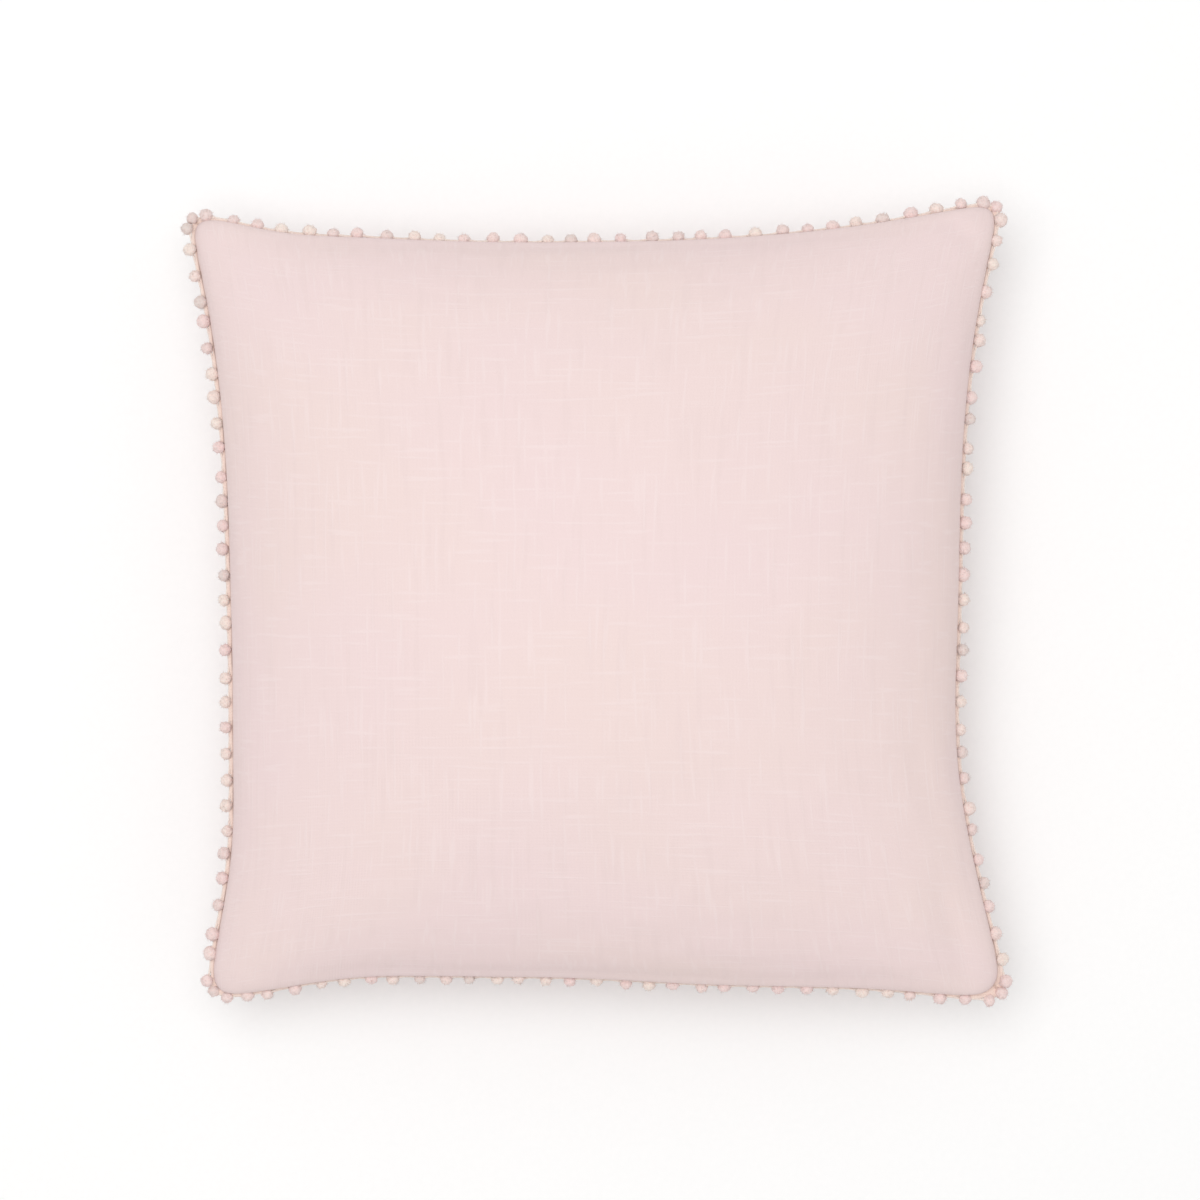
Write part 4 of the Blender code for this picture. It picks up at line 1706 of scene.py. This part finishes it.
@dataclass
class ZipFastener:
    """The zip under the trim: two woven tapes, two coils, three stops, slider and pull."""

    plan: SeamPlan
    ribbon: bpy.types.Material
    nylon: bpy.types.Material
    metal: bpy.types.Material
    longest_edge: float = 0.004
    coil_pitch: float = 0.0012
    wire_radius: float = 0.00024
    steps_per_turn: int = 8
    tucked_span: tuple[float, float] = (0.0950, 0.1010)
    tucked_rise: float = 0.0013
    sewn_inset: float = 0.0040
    sewn_span: tuple[float, float] = (0.0350, 0.0362)
    sewn_edge_y: float = 0.1123

    def build_ribbon(self, node: str) -> bpy.types.Object:
        """Builds a zip tape on the frame's own one, welded and divided for its weave.

        Args:
            node: the frame's node.

        Returns:
            The object.
        """
        bm = bmesh.new()
        bm.from_mesh(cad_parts[node].data)
        bmesh.ops.remove_doubles(bm, verts=bm.verts, dist=MERGE)
        bmesh.ops.dissolve_limit(
            bm, angle_limit=math.radians(1.0), verts=bm.verts, edges=bm.edges
        )
        bmesh.ops.triangulate(bm, faces=bm.faces)
        long = [edge for edge in bm.edges if edge.calc_length() > self.longest_edge]
        bmesh.ops.subdivide_edges(bm, edges=long, cuts=2, use_grid_fill=True)
        bm.loops.layers.uv.new(CLOTH_UV)
        unwrap(bm, lambda vert: (vert.co.x, vert.co.z - vert.co.y * 0.5))
        for vert in bm.verts:
            if node == "zip_tape_lower":
                # The ends of the tape are tucked up inside the back panel.
                tucked = smooth_step(abs(vert.co.x), *self.tucked_span)
                vert.co.z += self.tucked_rise * tucked
            else:
                # The sewn edge of the tape follows the seam out towards the corners.
                seam = self.plan.plan(vert.co.x / self.plan.half_width, -1.0, self.sewn_inset)
                sewn = smooth_step(vert.co.z, *self.sewn_span)
                vert.co.y += min(seam.y + self.sewn_edge_y, 0.0) * sewn
        name = node.replace("zip_tape", "zip_ribbon")
        return new_object(name, mesh_of(name, bm, smooth=False), self.ribbon)

    def build_coil(self, node: str) -> bpy.types.Object:
        """Builds a coil's turns of monofilament in the space that the frame holds for it.

        Args:
            node: the frame's node.

        Returns:
            The object.
        """
        low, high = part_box(node)
        middle = (low + high) / 2.0
        half_y = (high.y - low.y) / 2.0 - self.wire_radius
        half_z = (high.z - low.z) / 2.0 - self.wire_radius
        length = high.x - low.x - 2.0 * self.wire_radius
        turns = int(length / self.coil_pitch)
        steps = turns * self.steps_per_turn
        points = []
        for number in range(steps + 1):
            turn = 2.0 * math.pi * number / self.steps_per_turn
            x = low.x + self.wire_radius + length * number / steps
            points.append(
                Vector((x, middle.y + half_y * math.cos(turn), middle.z + half_z * math.sin(turn)))
            )
        name = node.replace("zip_coil", "zip_turns")
        mesh = round_tube(name, points, self.wire_radius)
        mesh.shade_smooth()
        return new_object(name, mesh, self.nylon)

    def dress(self, node: str) -> None:
        """Gives a metal piece of the frame its finish."""
        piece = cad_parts[node]
        piece.data.materials.clear()
        piece.data.materials.append(self.metal)
        log.info("%s: dressed", node)

    def build(self) -> None:
        """Builds the zip's soft pieces and dresses its metal ones."""
        for half in ("upper", "lower"):
            tape = f"zip_tape_{half}"
            finish_piece(self.build_ribbon(tape), "zip_tape", tape)
            coil = f"zip_coil_{half}"
            finish_piece(self.build_coil(coil), "zip_coil", coil)
        metal = ("zip_top_stop_upper", "zip_top_stop_lower", "zip_bottom_stop")
        for node in (*metal, "zip_slider", "zip_pull"):
            self.dress(node)


@dataclass
class Studio:
    """A pale paper floor, soft lights and a camera straight above the cushion."""

    paper: bpy.types.Material
    floor_size: float = 6.0
    seam_z: float = 0.0380
    lens_mm: float = 85.0
    sensor_mm: float = 36.0
    frame_width: float = 0.3746
    aim: tuple[float, float] = (0.0009, 0.0000)
    key_place: tuple[float, float, float] = (-0.17, 0.13, 1.30)
    key_size: float = 0.9
    key_energy: float = 8.3
    fill_place: tuple[float, float, float] = (1.10, -0.15, 1.00)
    fill_size: float = 1.4
    fill_energy: float = 1.2
    sky_colour: tuple[float, float, float, float] = (1.0, 0.995, 0.985, 1.0)
    sky: float = 0.63

    def build_camera(self) -> None:
        """Places the camera straight above, with the frame's width at the seam's height."""
        data = bpy.data.cameras.new("camera")
        data.lens = self.lens_mm
        data.sensor_width = self.sensor_mm
        data.clip_end = 20.0
        camera = bpy.data.objects.new("camera", data)
        distance = self.frame_width * self.lens_mm / self.sensor_mm
        camera.location = (*self.aim, self.seam_z + distance)
        bpy.context.scene.collection.objects.link(camera)
        bpy.context.scene.camera = camera

    def build_floor(self) -> None:
        """Lays the paper floor, with its place in its mesh."""
        bm = bmesh.new()
        bmesh.ops.create_grid(bm, x_segments=1, y_segments=1, size=self.floor_size / 2.0)
        new_object("paper_floor", mesh_of("paper_floor", bm, False), self.paper)

    def build_light(self, name: str, place: Vector, size: float, energy: float) -> None:
        """Adds a soft square light that faces the cushion.

        Args:
            name: the light's name.
            place: where it hangs.
            size: its side.
            energy: its power in watts.
        """
        data = bpy.data.lights.new(name, "AREA")
        data.shape = "SQUARE"
        data.size = size
        data.energy = energy
        light = bpy.data.objects.new(name, data)
        light.location = place
        light.rotation_euler = (-place).to_track_quat("-Z", "Y").to_euler()
        bpy.context.scene.collection.objects.link(light)

    def build_sky(self) -> None:
        """Sets an even white sky and a view transform that keeps colours as they are."""
        world = bpy.data.worlds.new("sky")
        world.use_nodes = True
        background = world.node_tree.nodes["Background"]
        background.inputs["Color"].default_value = self.sky_colour
        background.inputs["Strength"].default_value = self.sky
        bpy.context.scene.world = world
        bpy.context.scene.view_settings.view_transform = "Standard"
        bpy.context.scene.view_settings.look = "None"

    def build(self) -> None:
        """Builds the studio."""
        self.build_camera()
        self.build_floor()
        self.build_light("key", Vector(self.key_place), self.key_size, self.key_energy)
        self.build_light("fill", Vector(self.fill_place), self.fill_size, self.fill_energy)
        self.build_sky()


def main() -> None:
    """Builds the studio and the cushion's sub-assemblies, in order."""
    logging.basicConfig(level=logging.INFO, format="%(name)s: %(message)s")
    plan = SeamPlan()
    Studio(StudioPaper().build()).build()
    cover = Cover(plan, SlubCotton().build(), SewingThread().build())
    cover.build()
    Insert(plan, cover, DownproofCasing().build(), HollowFibre().build()).build()
    BobbleTrim(plan, HeaderBraid().build(), PompomYarn().build()).build()
    metal = PlatedZinc().build()
    ZipFastener(plan, ZipRibbon().build(), NylonMonofilament().build(), metal).build()


if __name__ == "__main__":
    main()
